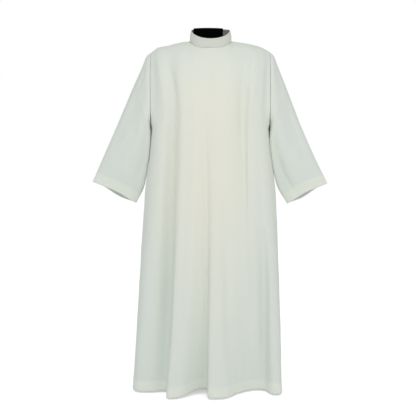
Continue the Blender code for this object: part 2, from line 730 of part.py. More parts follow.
def make_pole(collection):
    floor = SOCKET_HEIGHT + SEAM_GAP
    top = FORM_FLOOR_Z - SEAM_GAP
    bm = bmesh.new()
    bmesh.ops.create_cone(
        bm, cap_ends=True, segments=POLE_SIDES, radius1=POLE_RADIUS, radius2=POLE_RADIUS, depth=top - floor
    )
    pole = add_object("form_pole", bm, BLACK_STEEL, collection)
    pole.location = (0.0, 0.0, (top + floor) / 2.0)
    return pole


def make_base(collection):
    """The round base with its socket: a turned profile from the top of the axis downwards."""
    profile = [
        (0.0, SOCKET_HEIGHT),
        (SOCKET_RADIUS - BASE_EDGE, SOCKET_HEIGHT),
        (SOCKET_RADIUS, SOCKET_HEIGHT - BASE_EDGE),
        (SOCKET_RADIUS, BASE_HEIGHT),
        (BASE_RADIUS - BASE_EDGE, BASE_HEIGHT),
        (BASE_RADIUS, BASE_HEIGHT - BASE_EDGE),
        (BASE_RADIUS, 0.0),
        (0.0, 0.0),
    ]
    mesh = bpy.data.meshes.new("form_base")
    edges = [(i, i + 1) for i in range(len(profile) - 1)]
    mesh.from_pydata([(x, 0.0, z) for x, z in profile], edges, [])
    base = bpy.data.objects.new("form_base", mesh)
    collection.objects.link(base)
    screw = base.modifiers.new("turned", "SCREW")
    screw.axis = "Z"
    screw.steps = BASE_SIDES
    screw.render_steps = BASE_SIDES
    screw.use_merge_vertices = True
    screw.merge_threshold = 0.0001
    give_finish(base, BLACK_STEEL)
    return base


def main():
    for old in list(bpy.data.objects):
        bpy.data.objects.remove(old)
    collection = bpy.data.collections.new("alb_robe_on_dress_form")
    bpy.context.scene.collection.children.link(collection)
    make_panel("front", FRONT_LINES, FRONT_ROUND, NECK_FRONT, -1.0, collection)
    make_panel("back", BACK_LINES, BACK_ROUND, NECK_BACK, 1.0, collection)
    make_sleeve("sleeve_left", LEFT_SLEEVE, LEFT_SLEEVE_FOLDS, False, collection)
    make_sleeve("sleeve_right", RIGHT_SLEEVE, RIGHT_SLEEVE_FOLDS, True, collection)
    make_collar(collection)
    make_torso(collection)
    make_neck_block(collection)
    make_pole(collection)
    make_base(collection)


main()
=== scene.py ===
import math
from collections import namedtuple

import bmesh
import bpy
import numpy as np
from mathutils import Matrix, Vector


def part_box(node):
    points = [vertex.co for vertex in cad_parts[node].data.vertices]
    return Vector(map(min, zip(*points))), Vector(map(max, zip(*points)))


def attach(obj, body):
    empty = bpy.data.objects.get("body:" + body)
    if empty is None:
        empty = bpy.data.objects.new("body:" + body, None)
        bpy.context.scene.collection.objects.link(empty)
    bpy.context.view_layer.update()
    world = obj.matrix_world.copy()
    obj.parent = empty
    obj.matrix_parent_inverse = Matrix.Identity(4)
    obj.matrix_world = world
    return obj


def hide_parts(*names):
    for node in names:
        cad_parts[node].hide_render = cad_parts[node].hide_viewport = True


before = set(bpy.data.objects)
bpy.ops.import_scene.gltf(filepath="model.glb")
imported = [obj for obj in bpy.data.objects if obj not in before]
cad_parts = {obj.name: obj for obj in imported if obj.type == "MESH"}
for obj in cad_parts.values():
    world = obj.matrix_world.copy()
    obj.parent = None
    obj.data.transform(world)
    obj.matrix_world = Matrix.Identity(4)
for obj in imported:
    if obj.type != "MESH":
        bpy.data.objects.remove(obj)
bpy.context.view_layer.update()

bl_info = {
    "name": "Alb robe on a dress form",
    "version": (1, 0, 0),
    "blender": (4, 5, 0),
    "location": "View3D > Sidebar > Alb",
    "description": "Dresses the alb robe's frame in folded cloth, stitching and studio light",
    "category": "Object",
}

# Everything is in metres. The front faces -Y, and depths in the tables are measured from the
# plane of the shoulder and side seams, forwards on the front and backwards on the back.

SEAM_Y = -0.040
SEAM_GAP = 0.0003
CLOSEST_KNOTS = 1e-4
SHORTEST_NORMAL = 1e-12

# Body
HEM_Z = 0.006
HEM_RISE_TOP = 0.25
KNEE_Z = 0.45
WAIST_Z = 0.85
UNDERARM_Z = 1.130
CHEST_Z = 1.220
ARMHOLE_X = 0.250
ARMHOLE_DEPTH = 0.080
UNDERARM_EASE = 0.060
FRONT_ROUND = 2.4
BACK_ROUND = 3.0
BODY_FINENESS = 4
BODY_ROWS = 140
SHOULDER_ROWS = 30
STRAND_SEGMENTS = 6
STRAND_RINGS = 4

# Neckline, collar and neck block
NECK_MIDDLE_X = 0.0015
NECK_HALF_WIDTH = 0.0895
NECK_FRONT = 0.0945
NECK_BACK = 0.075
NECK_ROUND = 2.4
RIM_MIDDLE_X = 0.0015
RIM_HALF_WIDTH = 0.0812
RIM_FRONT = 0.082
RIM_BACK = 0.068
COLLAR_BOW = 0.0028
COLLAR_ROWS = 20
COLLAR_FOLD_STEPS = 6
COLLAR_CELLS = 150
COLLAR_MEAN_HEIGHT = 0.0421
COLLAR_RIM_BAND = 0.007
COLLAR_STITCH_SHARES = (0.10, 0.80, 0.90)
COLLAR_SHARP_ANGLE = math.radians(55.0)
# The collar's cloth is painted darker than the rest by this share, as painted shade.
COLLAR_PAINTED_SHADE = 0.86
NECK_EDGE = 0.0030
NECK_DOME = 0.0022
NECK_EDGE_STEPS = 8
NECK_DOME_SHARES = (0.9, 0.75, 0.6, 0.45, 0.3, 0.15, 0.05)
NECK_CELLS = 96
RING_SHARP_ANGLE = math.radians(50.0)
RimHeight = namedtuple("RimHeight", "back z")
RIM_HEIGHTS = [
    RimHeight(-0.082, 1.5030),
    RimHeight(-0.040, 1.5205),
    RimHeight(0.000, 1.5350),
    RimHeight(0.068, 1.5400),
]

# Sleeves
SLEEVE_CELLS = 112
SLEEVE_ROWS = 110
CUFF_DIP = 0.012
CUFF_ARCH = 0.009
CUFF_DIP_PLACE = 0.64
CUFF_DIP_WIDTH = 0.30
CUFF_DIP_START = 0.80
CAP_REACH = 0.30
UNDERSIDE_FULLNESS = 0.5
SLEEVE_LEAN = 0.012
LEAN_RISE = 0.30
LEAN_FALL = 0.60
FOLD_RISE = 0.15
FOLD_FALL = 0.20

Ridge = namedtuple("Ridge", "x z")
SHOULDER_RIDGE = [
    Ridge(-0.250, 1.4410),
    Ridge(-0.234, 1.4530),
    Ridge(-0.218, 1.4635),
    Ridge(-0.180, 1.4705),
    Ridge(-0.134, 1.4822),
    Ridge(-0.116, 1.4857),
    Ridge(-0.088, 1.4885),
    Ridge(0.000, 1.5078),
    Ridge(0.091, 1.4885),
    Ridge(0.134, 1.4825),
    Ridge(0.182, 1.4735),
    Ridge(0.212, 1.4650),
    Ridge(0.234, 1.4540),
    Ridge(0.250, 1.4440),
]

Side = namedtuple("Side", "z left right")
SIDE_LINE = [
    Side(0.006, -0.3355, 0.3060),
    Side(0.100, -0.3285, 0.3045),
    Side(0.340, -0.3135, 0.3002),
    Side(0.600, -0.2972, 0.2914),
    Side(0.860, -0.2778, 0.2788),
    Side(1.000, -0.2612, 0.2612),
    Side(1.130, -0.2500, 0.2500),
]

# Lines that run down a panel, from its left to its right. Each has its number of cells to the
# next line, which BODY_FINENESS multiplies, its place on the shoulder or neckline, and its
# place and depth at four heights.
Line = namedtuple("Line", "name cells top chest_x chest waist_x waist knee_x knee hem_x hem")
FRONT_LINES = [
    Line("left side", 3, -0.250, 0, 0, 0, 0, 0, 0, 0, 0),
    Line("left corner", 2, -0.238, -0.226, 0.092, -0.256, 0.102, -0.288, 0.124, -0.3205, 0.134),
    Line("left flat", 2, -0.217, -0.190, 0.121, -0.208, 0.136, -0.232, 0.143, -0.256, 0.146),
    Line("fold A", 3, -0.178, -0.1465, 0.122, -0.158, 0.127, -0.176, 0.130, -0.192, 0.140),
    Line("ridge one outer", 2, -0.130, -0.120, 0.146, -0.130, 0.163, -0.151, 0.188, -0.182, 0.228),
    Line("left neck point", 2, -0.088, -0.089, 0.151, -0.094, 0.168, -0.117, 0.193, -0.155, 0.230),
    Line("ridge one inner", 3, -0.058, -0.060, 0.153, -0.062, 0.168, -0.085, 0.188, -0.126, 0.220),
    Line("fold B lead", 1, -0.030, -0.032, 0.153, -0.032, 0.158, -0.040, 0.167, -0.050, 0.160),
    Line("fold B", 3, -0.019, -0.0205, 0.153, -0.0145, 0.153, -0.0175, 0.160, -0.0165, 0.157),
    Line("ridge two outer", 2, 0.002, 0.002, 0.154, 0.003, 0.163, -0.0015, 0.187, -0.007, 0.232),
    Line("ridge two crest", 2, 0.024, 0.023, 0.156, 0.022, 0.167, 0.022, 0.193, 0.028, 0.237),
    Line("ridge two inner", 3, 0.050, 0.049, 0.155, 0.047, 0.164, 0.052, 0.187, 0.070, 0.222),
    Line("right neck point", 3, 0.091, 0.089, 0.151, 0.092, 0.155, 0.101, 0.163, 0.119, 0.164),
    Line("fold C", 2, 0.150, 0.137, 0.125, 0.142, 0.142, 0.160, 0.137, 0.178, 0.121),
    Line("fold C ridge", 2, 0.185, 0.160, 0.138, 0.168, 0.149, 0.190, 0.135, 0.212, 0.115),
    Line("fold D", 2, 0.208, 0.198, 0.120, 0.215, 0.131, 0.222, 0.120, 0.236, 0.125),
    Line("right ridge", 2, 0.222, 0.213, 0.110, 0.237, 0.122, 0.254, 0.142, 0.264, 0.178),
    Line("right corner", 3, 0.238, 0.228, 0.090, 0.258, 0.101, 0.284, 0.126, 0.297, 0.176),
    Line("right side", 0, 0.250, 0, 0, 0, 0, 0, 0, 0, 0),
]
BACK_LINES = [
    Line("left side", 3, -0.250, 0, 0, 0, 0, 0, 0, 0, 0),
    Line("left corner", 2, -0.238, -0.227, 0.088, -0.257, 0.102, -0.286, 0.132, -0.314, 0.160),
    Line("left hang", 2, -0.210, -0.186, 0.117, -0.206, 0.130, -0.226, 0.152, -0.250, 0.188),
    Line("fold E", 3, -0.155, -0.140, 0.124, -0.152, 0.129, -0.170, 0.138, -0.186, 0.166),
    Line("left neck point", 3, -0.088, -0.091, 0.140, -0.104, 0.157, -0.122, 0.190, -0.138, 0.236),
    Line("fold F", 3, -0.050, -0.051, 0.136, -0.052, 0.141, -0.058, 0.157, -0.063, 0.190),
    Line("middle ridge", 3, 0.004, 0.003, 0.142, 0.004, 0.156, 0.010, 0.187, 0.016, 0.240),
    Line("fold G", 3, 0.052, 0.050, 0.137, 0.056, 0.141, 0.066, 0.152, 0.078, 0.184),
    Line("right neck point", 3, 0.091, 0.092, 0.140, 0.109, 0.157, 0.130, 0.189, 0.152, 0.230),
    Line("fold H", 3, 0.160, 0.146, 0.125, 0.162, 0.131, 0.182, 0.143, 0.200, 0.170),
    Line("right hang", 2, 0.210, 0.190, 0.116, 0.210, 0.130, 0.230, 0.156, 0.252, 0.194),
    Line("right corner", 3, 0.238, 0.228, 0.088, 0.257, 0.102, 0.281, 0.130, 0.295, 0.156),
    Line("right side", 0, 0.250, 0, 0, 0, 0, 0, 0, 0, 0),
]

# How far the front's hem rises at each place across, easing out at HEM_RISE_TOP
HemRise = namedtuple("HemRise", "x rise")
HEM_RISES = [
    HemRise(-0.1400, 0.000),
    HemRise(-0.0950, 0.006),
    HemRise(-0.0500, 0.016),
    HemRise(-0.0165, 0.015),
    HemRise(-0.0070, 0.000),
]

# A sleeve's two edges as seen from the front, shoulder to cuff, and its half depth
Reach = namedtuple("Reach", "along outer_x outer_z inner_x inner_z depth")
LEFT_SLEEVE = [
    Reach(0.000, -0.2502, 1.4410, -0.2502, 1.130, 0.080),
    Reach(0.025, -0.2660, 1.4285, -0.2512, 1.124, 0.081),
    Reach(0.10, -0.2855, 1.3830, -0.2532, 1.105, 0.080),
    Reach(0.30, -0.3330, 1.2790, -0.2594, 1.030, 0.068),
    Reach(0.55, -0.3940, 1.1390, -0.2685, 0.948, 0.052),
    Reach(0.78, -0.4500, 1.0140, -0.2840, 0.872, 0.038),
    Reach(1.00, -0.5030, 0.8960, -0.3173, 0.8042, 0.024),
]
RIGHT_SLEEVE = [
    Reach(0.000, 0.2502, 1.4440, 0.2502, 1.130, 0.080),
    Reach(0.025, 0.2640, 1.4315, 0.2512, 1.124, 0.081),
    Reach(0.10, 0.2815, 1.3900, 0.2532, 1.105, 0.080),
    Reach(0.30, 0.3270, 1.2780, 0.2594, 1.030, 0.068),
    Reach(0.55, 0.3860, 1.1310, 0.2680, 0.958, 0.052),
    Reach(0.78, 0.4420, 1.0060, 0.2852, 0.880, 0.038),
    Reach(1.00, 0.5010, 0.8890, 0.3290, 0.8010, 0.024),
]

# Soft folds of the sleeves: turn is the place round the tube, in degrees from its outer edge
# by way of the front, and a depth below zero sinks in
SleeveFold = namedtuple("SleeveFold", "name turn_top turn_end start end width depth")
LEFT_SLEEVE_FOLDS = [
    SleeveFold("shoulder drop", 62, 58, 0.02, 0.55, 22, -0.010),
    SleeveFold("front ridge", 100, 78, 0.05, 0.95, 30, 0.007),
    SleeveFold("inner tuck", 128, 122, 0.10, 0.85, 20, -0.009),
    SleeveFold("back hollow", 250, 262, 0.08, 0.85, 26, -0.009),
    SleeveFold("back ridge", 292, 300, 0.10, 0.95, 24, 0.006),
]
RIGHT_SLEEVE_FOLDS = [
    SleeveFold("shoulder drop", 50, 66, 0.04, 0.70, 24, -0.009),
    SleeveFold("front ridge", 92, 104, 0.06, 0.95, 28, 0.007),
    SleeveFold("inner tuck", 130, 138, 0.20, 0.96, 16, -0.009),
    SleeveFold("back hollow", 256, 250, 0.10, 0.80, 26, -0.009),
    SleeveFold("back ridge", 300, 296, 0.08, 0.95, 22, 0.006),
]

# Finer creases of a panel, which run down it: where each starts and ends, how far it bows
# sideways between, its width, and its depth, which sinks in below zero. Each fades in over
# the first share of its length and out over the last.
CREASE_FADE_IN = 0.28
SLEEVE_CREASE_FADE_IN = 0.3
CREASE_FADE_OUT = 0.35
Crease = namedtuple("Crease", "name top_x top_z end_x end_z bow width depth")
FRONT_CREASES = [
    Crease("left yoke drop", -0.171, 1.405, -0.149, 1.235, 0.004, 0.015, -0.0058),
    Crease("left yoke ridge", -0.150, 1.380, -0.132, 1.240, 0.003, 0.012, 0.0020),
    Crease("left armhole line", -0.233, 1.405, -0.236, 1.200, 0.004, 0.006, -0.0010),
    Crease("left armhole ridge", -0.222, 1.350, -0.226, 0.960, 0.003, 0.009, 0.0016),
    Crease("fold A hollow", -0.155, 1.420, -0.198, 0.010, 0.000, 0.030, -0.0110),
    Crease("fold A line", -0.1475, 1.400, -0.1905, 0.010, 0.000, 0.010, -0.0086),
    Crease("fold A lip", -0.134, 1.250, -0.166, 0.100, 0.002, 0.007, 0.0026),
    Crease("ridge one crest", -0.066, 1.300, -0.090, 0.180, 0.003, 0.022, 0.0042),
    Crease("ridge one ripple", -0.104, 0.900, -0.122, 0.080, -0.003, 0.012, -0.0020),
    Crease("fold B line", -0.0205, 1.330, -0.0150, 0.200, 0.002, 0.012, -0.0040),
    Crease("left chest ripple", -0.090, 1.150, -0.096, 0.560, 0.004, 0.010, -0.0009),
    Crease("crest ripple", 0.018, 0.760, 0.026, 0.180, 0.003, 0.010, -0.0010),
    Crease("right soft hollow", 0.066, 0.960, 0.0845, 0.015, -0.003, 0.020, -0.0086),
    Crease("right soft ridge", 0.178, 0.760, 0.187, 0.015, 0.002, 0.034, 0.0090),
    Crease("right yoke drop", 0.184, 1.392, 0.161, 1.310, 0.002, 0.012, -0.0050),
    Crease("fold C line", 0.121, 1.345, 0.149, 0.700, 0.003, 0.012, -0.0058),
    Crease("fold C shade", 0.146, 1.330, 0.168, 0.950, 0.002, 0.020, -0.0036),
    Crease("right thin ridge", 0.154, 1.080, 0.156, 0.680, 0.000, 0.006, 0.0028),
    Crease("right armhole line", 0.232, 1.400, 0.240, 1.200, -0.003, 0.007, -0.0010),
    Crease("right side line", 0.203, 1.060, 0.208, 0.700, 0.004, 0.010, -0.0012),
    Crease("fold D line", 0.228, 0.780, 0.2345, 0.010, 0.001, 0.013, -0.0060),
    Crease("left flat line", -0.214, 0.980, -0.236, 0.300, 0.006, 0.013, -0.0014),
    Crease("left hip ripple", -0.192, 0.900, -0.214, 0.420, -0.004, 0.010, 0.0013),
]
BACK_CREASES = [
    Crease("left blade drop", -0.176, 1.400, -0.142, 1.200, -0.004, 0.018, -0.0045),
    Crease("right blade drop", 0.180, 1.395, 0.150, 1.190, 0.005, 0.017, -0.0042),
    Crease("left armhole line", -0.234, 1.400, -0.238, 1.100, 0.003, 0.007, -0.0020),
    Crease("right armhole line", 0.233, 1.405, 0.239, 1.090, -0.003, 0.006, -0.0022),
    Crease("middle line", 0.000, 1.300, 0.004, 0.820, 0.003, 0.014, -0.0018),
    Crease("left ripple", -0.096, 1.120, -0.108, 0.560, 0.005, 0.011, -0.0012),
    Crease("right ripple", 0.100, 1.060, 0.118, 0.480, -0.004, 0.010, -0.0013),
    Crease("left hip line", -0.210, 0.960, -0.232, 0.330, 0.006, 0.012, -0.0016),
    Crease("right hip line", 0.214, 0.930, 0.234, 0.300, -0.005, 0.013, -0.0015),
    Crease("lower ripple", -0.020, 0.620, -0.030, 0.160, 0.003, 0.010, 0.0011),
]

# Finer creases of a sleeve, in degrees round it and shares of its length
SleeveCrease = namedtuple("SleeveCrease", "name turn_top turn_end start end width depth")
LEFT_SLEEVE_CREASES = [
    SleeveCrease("cap line", 38, 44, 0.01, 0.22, 7, -0.0030),
    SleeveCrease("cap ridge", 52, 56, 0.02, 0.30, 7, 0.0020),
    SleeveCrease("elbow line", 84, 62, 0.30, 0.90, 12, -0.0034),
    SleeveCrease("outer shade", 52, 40, 0.12, 0.86, 15, -0.0042),
    SleeveCrease("inner ripple", 112, 104, 0.40, 0.92, 9, 0.0016),
    SleeveCrease("underarm ridge", 138, 150, 0.00, 0.55, 20, 0.0050),
    SleeveCrease("back cap line", 318, 312, 0.02, 0.25, 8, -0.0026),
    SleeveCrease("back elbow line", 272, 288, 0.35, 0.88, 12, -0.0030),
]
RIGHT_SLEEVE_CREASES = [
    SleeveCrease("cap line", 36, 42, 0.02, 0.26, 8, -0.0026),
    SleeveCrease("outer shade", 44, 52, 0.25, 0.92, 14, -0.0044),
    SleeveCrease("inner trough", 124, 114, 0.45, 1.05, 8, -0.0080),
    SleeveCrease("inner ridge", 100, 94, 0.35, 0.90, 10, 0.0022),
    SleeveCrease("underarm ridge", 142, 150, 0.00, 0.80, 17, 0.0080),
    SleeveCrease("back cap line", 322, 314, 0.02, 0.25, 8, -0.0026),
    SleeveCrease("back elbow line", 276, 290, 0.30, 0.90, 12, -0.0030),
]

# Slow unevenness of hanging cloth: waves per metre across and down, and their start
RIPPLE_BEND = 1.7
SLEEVE_RIPPLE_SHARE = 0.7
SLEEVE_RIPPLE_ACROSS = 0.2
SLEEVE_RIPPLE_DOWN = 0.6
Ripple = namedtuple("Ripple", "across down start height")
RIPPLES = [
    Ripple(5.1, 1.3, 0.4, 0.00050),
    Ripple(11.7, 0.9, 2.1, 0.00032),
    Ripple(19.3, 2.2, 4.0, 0.00018),
    Ripple(2.3, 4.6, 1.2, 0.00035),
]

# Turned-up hems: the step where the cloth lies double, the dimple along the stitches, and how
# far the tone of double cloth reaches past the band
HEM_STEP = 0.00045
HEM_STEP_WIDTH = 0.004
STITCH_INSET = 0.002
STITCH_DIMPLE = 0.00035
STITCH_DIMPLE_WIDTH = 0.0022
BAND_OVERLAP = 0.001
BAND_SOFTNESS = 0.003

# Seams: the share of a seam's dimple one cell further in, and how far from a seam, in metres on
# a panel and as a share of a sleeve's length, the creases and ripples set in
SECOND_DIMPLE = 0.35
SHOULDER_SECOND_DIMPLE = 0.3
PANEL_CALM = 0.05
SLEEVE_CALM = 0.06

# Flat sizes of what shows of each cut piece: its widest width, measured along the cloth and all
# round a sleeve, its length, and the area between its curved edges
Cut = namedtuple("Cut", "width length area")
FRONT_CUT = Cut(1.19, 1.56, 1.22)
BACK_CUT = Cut(1.10, 1.57, 1.20)

# The two panels, each with how round it is over the shoulder, how far its neckline reaches and
# which way it faces, and the two sleeves
Panel = namedtuple("Panel", "piece node lines creases roundness reach towards cut")
PANELS = (
    Panel("alb_front", "front", FRONT_LINES, FRONT_CREASES, FRONT_ROUND, NECK_FRONT, -1.0, FRONT_CUT),
    Panel("alb_back", "back", BACK_LINES, BACK_CREASES, BACK_ROUND, NECK_BACK, 1.0, BACK_CUT),
)
Sleeve = namedtuple("Sleeve", "side reaches folds creases right")
SLEEVES = (
    Sleeve("left", LEFT_SLEEVE, LEFT_SLEEVE_FOLDS, LEFT_SLEEVE_CREASES, False),
    Sleeve("right", RIGHT_SLEEVE, RIGHT_SLEEVE_FOLDS, RIGHT_SLEEVE_CREASES, True),
)

# Painted light and shade in the cloth's tone: lighter, warmer painted light in the middle and higher
# up, and darker, cooler painted shade at the sides, lower down and again by the neck. Each has the
# places from and to, and the shares from and to. A slow random drift of the tone is added.
PAINTED_LIGHT_ACROSS = (0.06, 0.34, 0.85, 0.05)
PAINTED_LIGHT_UP = (0.10, 0.90, 0.25, 1.00)
PAINTED_SHADE_BY_NECK = (1.25, 1.45, 1.00, 0.40)
WARM_DRIFT = 0.25
THREAD_TINT = (0.93, 0.93, 0.91, 1.0)
SLUB_SHARE = 0.5
# The inside face of the cloth is painted darker by this share, as painted shade.
INSIDE_PAINTED_SHADE = 0.92

# Radians by which a wave texture turns over a metre when its scale is one
WAVE_TURN = 20.0

# Carried-over nodes, and what they get
FORM_NODES = {"form_torso": "cover", "form_pole": "steel", "form_base": "steel"}

# The photograph's camera: it stands square to the garment and looks slightly down
CAMERA_PLACE = (-0.0097, SEAM_Y - 4.8, 1.6)
CAMERA_PITCH = math.radians(9.6913)
CAMERA_LENS = 98.07
SENSOR_WIDTH = 36.0

# The floor, and its glow as light and where the camera sees it
FLOOR_SIZE = 24.0
FLOOR_CELLS = 8
FLOOR_COLOUR = (0.9, 0.9, 0.9, 1.0)
FLOOR_GLOW = 0.14
FLOOR_SEEN_GLOW = 0.50
WHITE = (1.0, 1.0, 1.0, 1.0)

# Large soft lights, each with the name of the setting that holds its power
COOL_LIGHT = (0.88, 0.97, 1.0)
WARM_LIGHT = (1.0, 0.98, 0.95)
Light = namedtuple("Light", "name place aim size tint power")
LIGHTS = (
    Light("left front light", (-2.4, -3.2, 2.0), (0.0, 0.0, 0.8), 1.8, COOL_LIGHT, "left_power"),
    Light("right front light", (2.4, -3.2, 1.6), (0.0, 0.0, 0.8), 1.8, WARM_LIGHT, "right_power"),
    Light("front light", (0.1, -4.4, 2.3), (0.0, 0.0, 1.2), 1.6, WARM_LIGHT, "front_power"),
    Light("top light", (0.0, -1.6, 3.8), (0.0, 0.0, 0.9), 2.4, WARM_LIGHT, "top_power"),
    Light("left side light", (-3.2, -0.6, 1.4), (0.0, 0.0, 0.8), 1.8, COOL_LIGHT, "left_side_power"),
    Light("right side light", (3.2, -0.6, 1.4), (0.0, 0.0, 0.8), 1.8, COOL_LIGHT, "right_side_power"),
)


def smooth_step(value):
    """A share held between 0 and 1 and eased at both ends."""
    value = np.clip(value, 0.0, 1.0)
    return value * value * (3.0 - 2.0 * value)


def slopes_of(places, values, flat_end):
    """Slopes of a curve through the values that never overshoots them."""
    count = len(places)
    steps = [(values[i + 1] - values[i]) / (places[i + 1] - places[i]) for i in range(count - 1)]
    slopes = [steps[0]]
    for i in range(1, count - 1):
        both = steps[i - 1] * steps[i]
        slopes.append(2.0 * both / (steps[i - 1] + steps[i]) if both > 0.0 else 0.0)
    slopes.append(0.0 if flat_end else steps[-1])
    return slopes


def curve_at(places, values, at, flat_end=False):
    """Value at one place on the smooth curve through the values; places increase."""
    at = min(places[-1], max(places[0], at))
    slopes = slopes_of(places, values, flat_end)
    span = 0
    while span < len(places) - 2 and at > places[span + 1]:
        span += 1
    width = places[span + 1] - places[span]
    t = (at - places[span]) / width
    return (
        values[span] * (2 * t ** 3 - 3 * t ** 2 + 1)
        + slopes[span] * width * (t ** 3 - 2 * t ** 2 + t)
        + values[span + 1] * (3 * t ** 2 - 2 * t ** 3)
        + slopes[span + 1] * width * (t ** 3 - t ** 2)
    )


def table_at(table, place, value, at):
    """One column of a table at one place, on the smooth curve through its rows."""
    places = [getattr(row, place) for row in table]
    return curve_at(places, [getattr(row, value) for row in table], at)


def ridge_height(x):
    """Height of the shoulder seam at one place across."""
    return table_at(SHOULDER_RIDGE, "x", "z", x)


def side_x(z, right):
    """Place across of a side seam at one height."""
    return table_at(SIDE_LINE, "z", "right" if right else "left", z)


def line_at(line, z):
    """Place across and depth of a line at one height below the chest."""
    heights = [HEM_Z, KNEE_Z, WAIST_Z, CHEST_Z]
    x = curve_at(heights, [line.hem_x, line.knee_x, line.waist_x, line.chest_x], z, True)
    depth = curve_at(heights, [line.hem, line.knee, line.waist, line.chest], z, True)
    return x, depth


def edge_at(right, z):
    """Place across and depth of a panel's edge: the armhole, then the side seam."""
    if z <= UNDERARM_Z:
        return side_x(z, right), 0.0
    drop = (CHEST_Z - z) / (CHEST_Z - UNDERARM_Z)
    depth = ARMHOLE_DEPTH * math.sqrt(max(0.0, 1.0 - drop * drop))
    return (ARMHOLE_X if right else -ARMHOLE_X), depth


def past_edge(edge, inner, z):
    """A point beyond the edge, which sets the direction in which the cloth reaches it."""
    open_edge = (2 * edge[0] - inner[0], 2 * edge[1] - inner[1])
    closed_edge = (inner[0], -inner[1])
    share = float(smooth_step((z - UNDERARM_Z) / UNDERARM_EASE))
    return (
        closed_edge[0] + share * (open_edge[0] - closed_edge[0]),
        closed_edge[1] + share * (open_edge[1] - closed_edge[1]),
    )


def spline_point(before, start, end, after, t):
    """Centripetal curve from start to end, as a pair of numbers."""
    knots = [0.0]
    for a, b in ((before, start), (start, end), (end, after)):
        apart = math.hypot(b[0] - a[0], b[1] - a[1]) ** 0.5
        knots.append(knots[-1] + max(CLOSEST_KNOTS, apart))
    at = knots[1] + t * (knots[2] - knots[1])
    result = []
    for axis in (0, 1):
        p = [before[axis], start[axis], end[axis], after[axis]]
        a = [
            (knots[i + 1] - at) / (knots[i + 1] - knots[i]) * p[i]
            + (at - knots[i]) / (knots[i + 1] - knots[i]) * p[i + 1]
            for i in range(3)
        ]
        b = [
            (knots[i + 2] - at) / (knots[i + 2] - knots[i]) * a[i]
            + (at - knots[i]) / (knots[i + 2] - knots[i]) * a[i + 1]
            for i in range(2)
        ]
        c = (knots[2] - at) / (knots[2] - knots[1]) * b[0]
        c += (at - knots[1]) / (knots[2] - knots[1]) * b[1]
        result.append(c)
    return tuple(result)


def cells_across(lines, points, before, after):
    """Points of one row: each stretch between two lines is cut into its own number of cells."""
    chain = [before] + points + [after]
    row = []
    for index, line in enumerate(lines[:-1]):
        cells = line.cells * BODY_FINENESS
        for cell in range(cells):
            row.append(spline_point(*chain[index:index + 4], cell / cells))
    row.append(points[-1])
    return row


def body_row(lines, z):
    """Place across and depth of each point of a panel at one height."""
    inner = [line_at(line, z) for line in lines[1:-1]]
    left = edge_at(False, z)
    right = edge_at(True, z)
    before = past_edge(left, inner[0], z)
    after = past_edge(right, inner[-1], z)
    return cells_across(lines, [left] + inner + [right], before, after)


def top_places(lines):
    """Place across of each column where it meets the shoulder seam or the neckline."""
    tops = [(line.top, 0.0) for line in lines]
    before = (2 * tops[0][0] - tops[1][0], 0.0)
    after = (2 * tops[-1][0] - tops[-2][0], 0.0)
    return [point[0] for point in cells_across(lines, tops, before, after)]


def neck_reach(x, reach):
    """Depth of the neckline at one place across, zero beyond the neck points."""
    share = (x - NECK_MIDDLE_X) / NECK_HALF_WIDTH
    return reach * max(0.0, 1.0 - abs(share) ** NECK_ROUND) ** (1.0 / NECK_ROUND)


def over_shoulder(panel, top_x, chest, turn):
    """A point between the chest and the top edge; turn is 0 at the chest and 1 at the edge."""
    start = math.pi / 2.0
    opening = neck_reach(top_x, panel.reach)
    if opening > 0.0:
        start = math.acos((opening / chest[1]) ** (panel.roundness / 2.0))
    angle = start * turn
    rise = math.sin(angle) ** (2.0 / panel.roundness)
    depth = chest[1] * max(0.0, math.cos(angle)) ** (2.0 / panel.roundness)
    if turn == 1.0 and opening == 0.0:
        depth = 0.0
    x = chest[0] + (top_x - chest[0]) * rise
    z = CHEST_Z + (ridge_height(x) - CHEST_Z) * rise
    return x, depth, z


def hem_rise(x):
    """How far the front's hem rises at one place across."""
    return table_at(HEM_RISES, "x", "rise", x)


def panel_grid(panel):
    """Points of the front or back, row by row from the top edge to the hem, as an array."""
    tops = top_places(panel.lines)
    chest = body_row(panel.lines, CHEST_Z)
    hem = body_row(panel.lines, HEM_Z)
    rises = [hem_rise(x) if panel.towards < 0.0 else 0.0 for x, depth in hem]
    rows = []
    for step in range(SHOULDER_ROWS):
        turn = 1.0 - step / SHOULDER_ROWS
        rows.append([over_shoulder(panel, top, low, turn) for top, low in zip(tops, chest)])
    for step in range(BODY_ROWS + 1):
        z = CHEST_Z + (HEM_Z - CHEST_Z) * step / BODY_ROWS
        share = float(smooth_step((HEM_RISE_TOP - z) / (HEM_RISE_TOP - HEM_Z)))
        across = zip(body_row(panel.lines, z), rises)
        rows.append([(x, depth, z + share * rise) for (x, depth), rise in across])
    grid = np.array(rows)
    half_gap = SEAM_GAP / 2.0
    above = grid[..., 2] >= UNDERARM_Z
    inside = np.clip(grid[..., 0], half_gap - ARMHOLE_X, ARMHOLE_X - half_gap)
    grid[..., 0] = np.where(above, inside, grid[..., 0])
    grid[..., 1] = SEAM_Y + panel.towards * np.maximum(grid[..., 1], half_gap)
    return grid


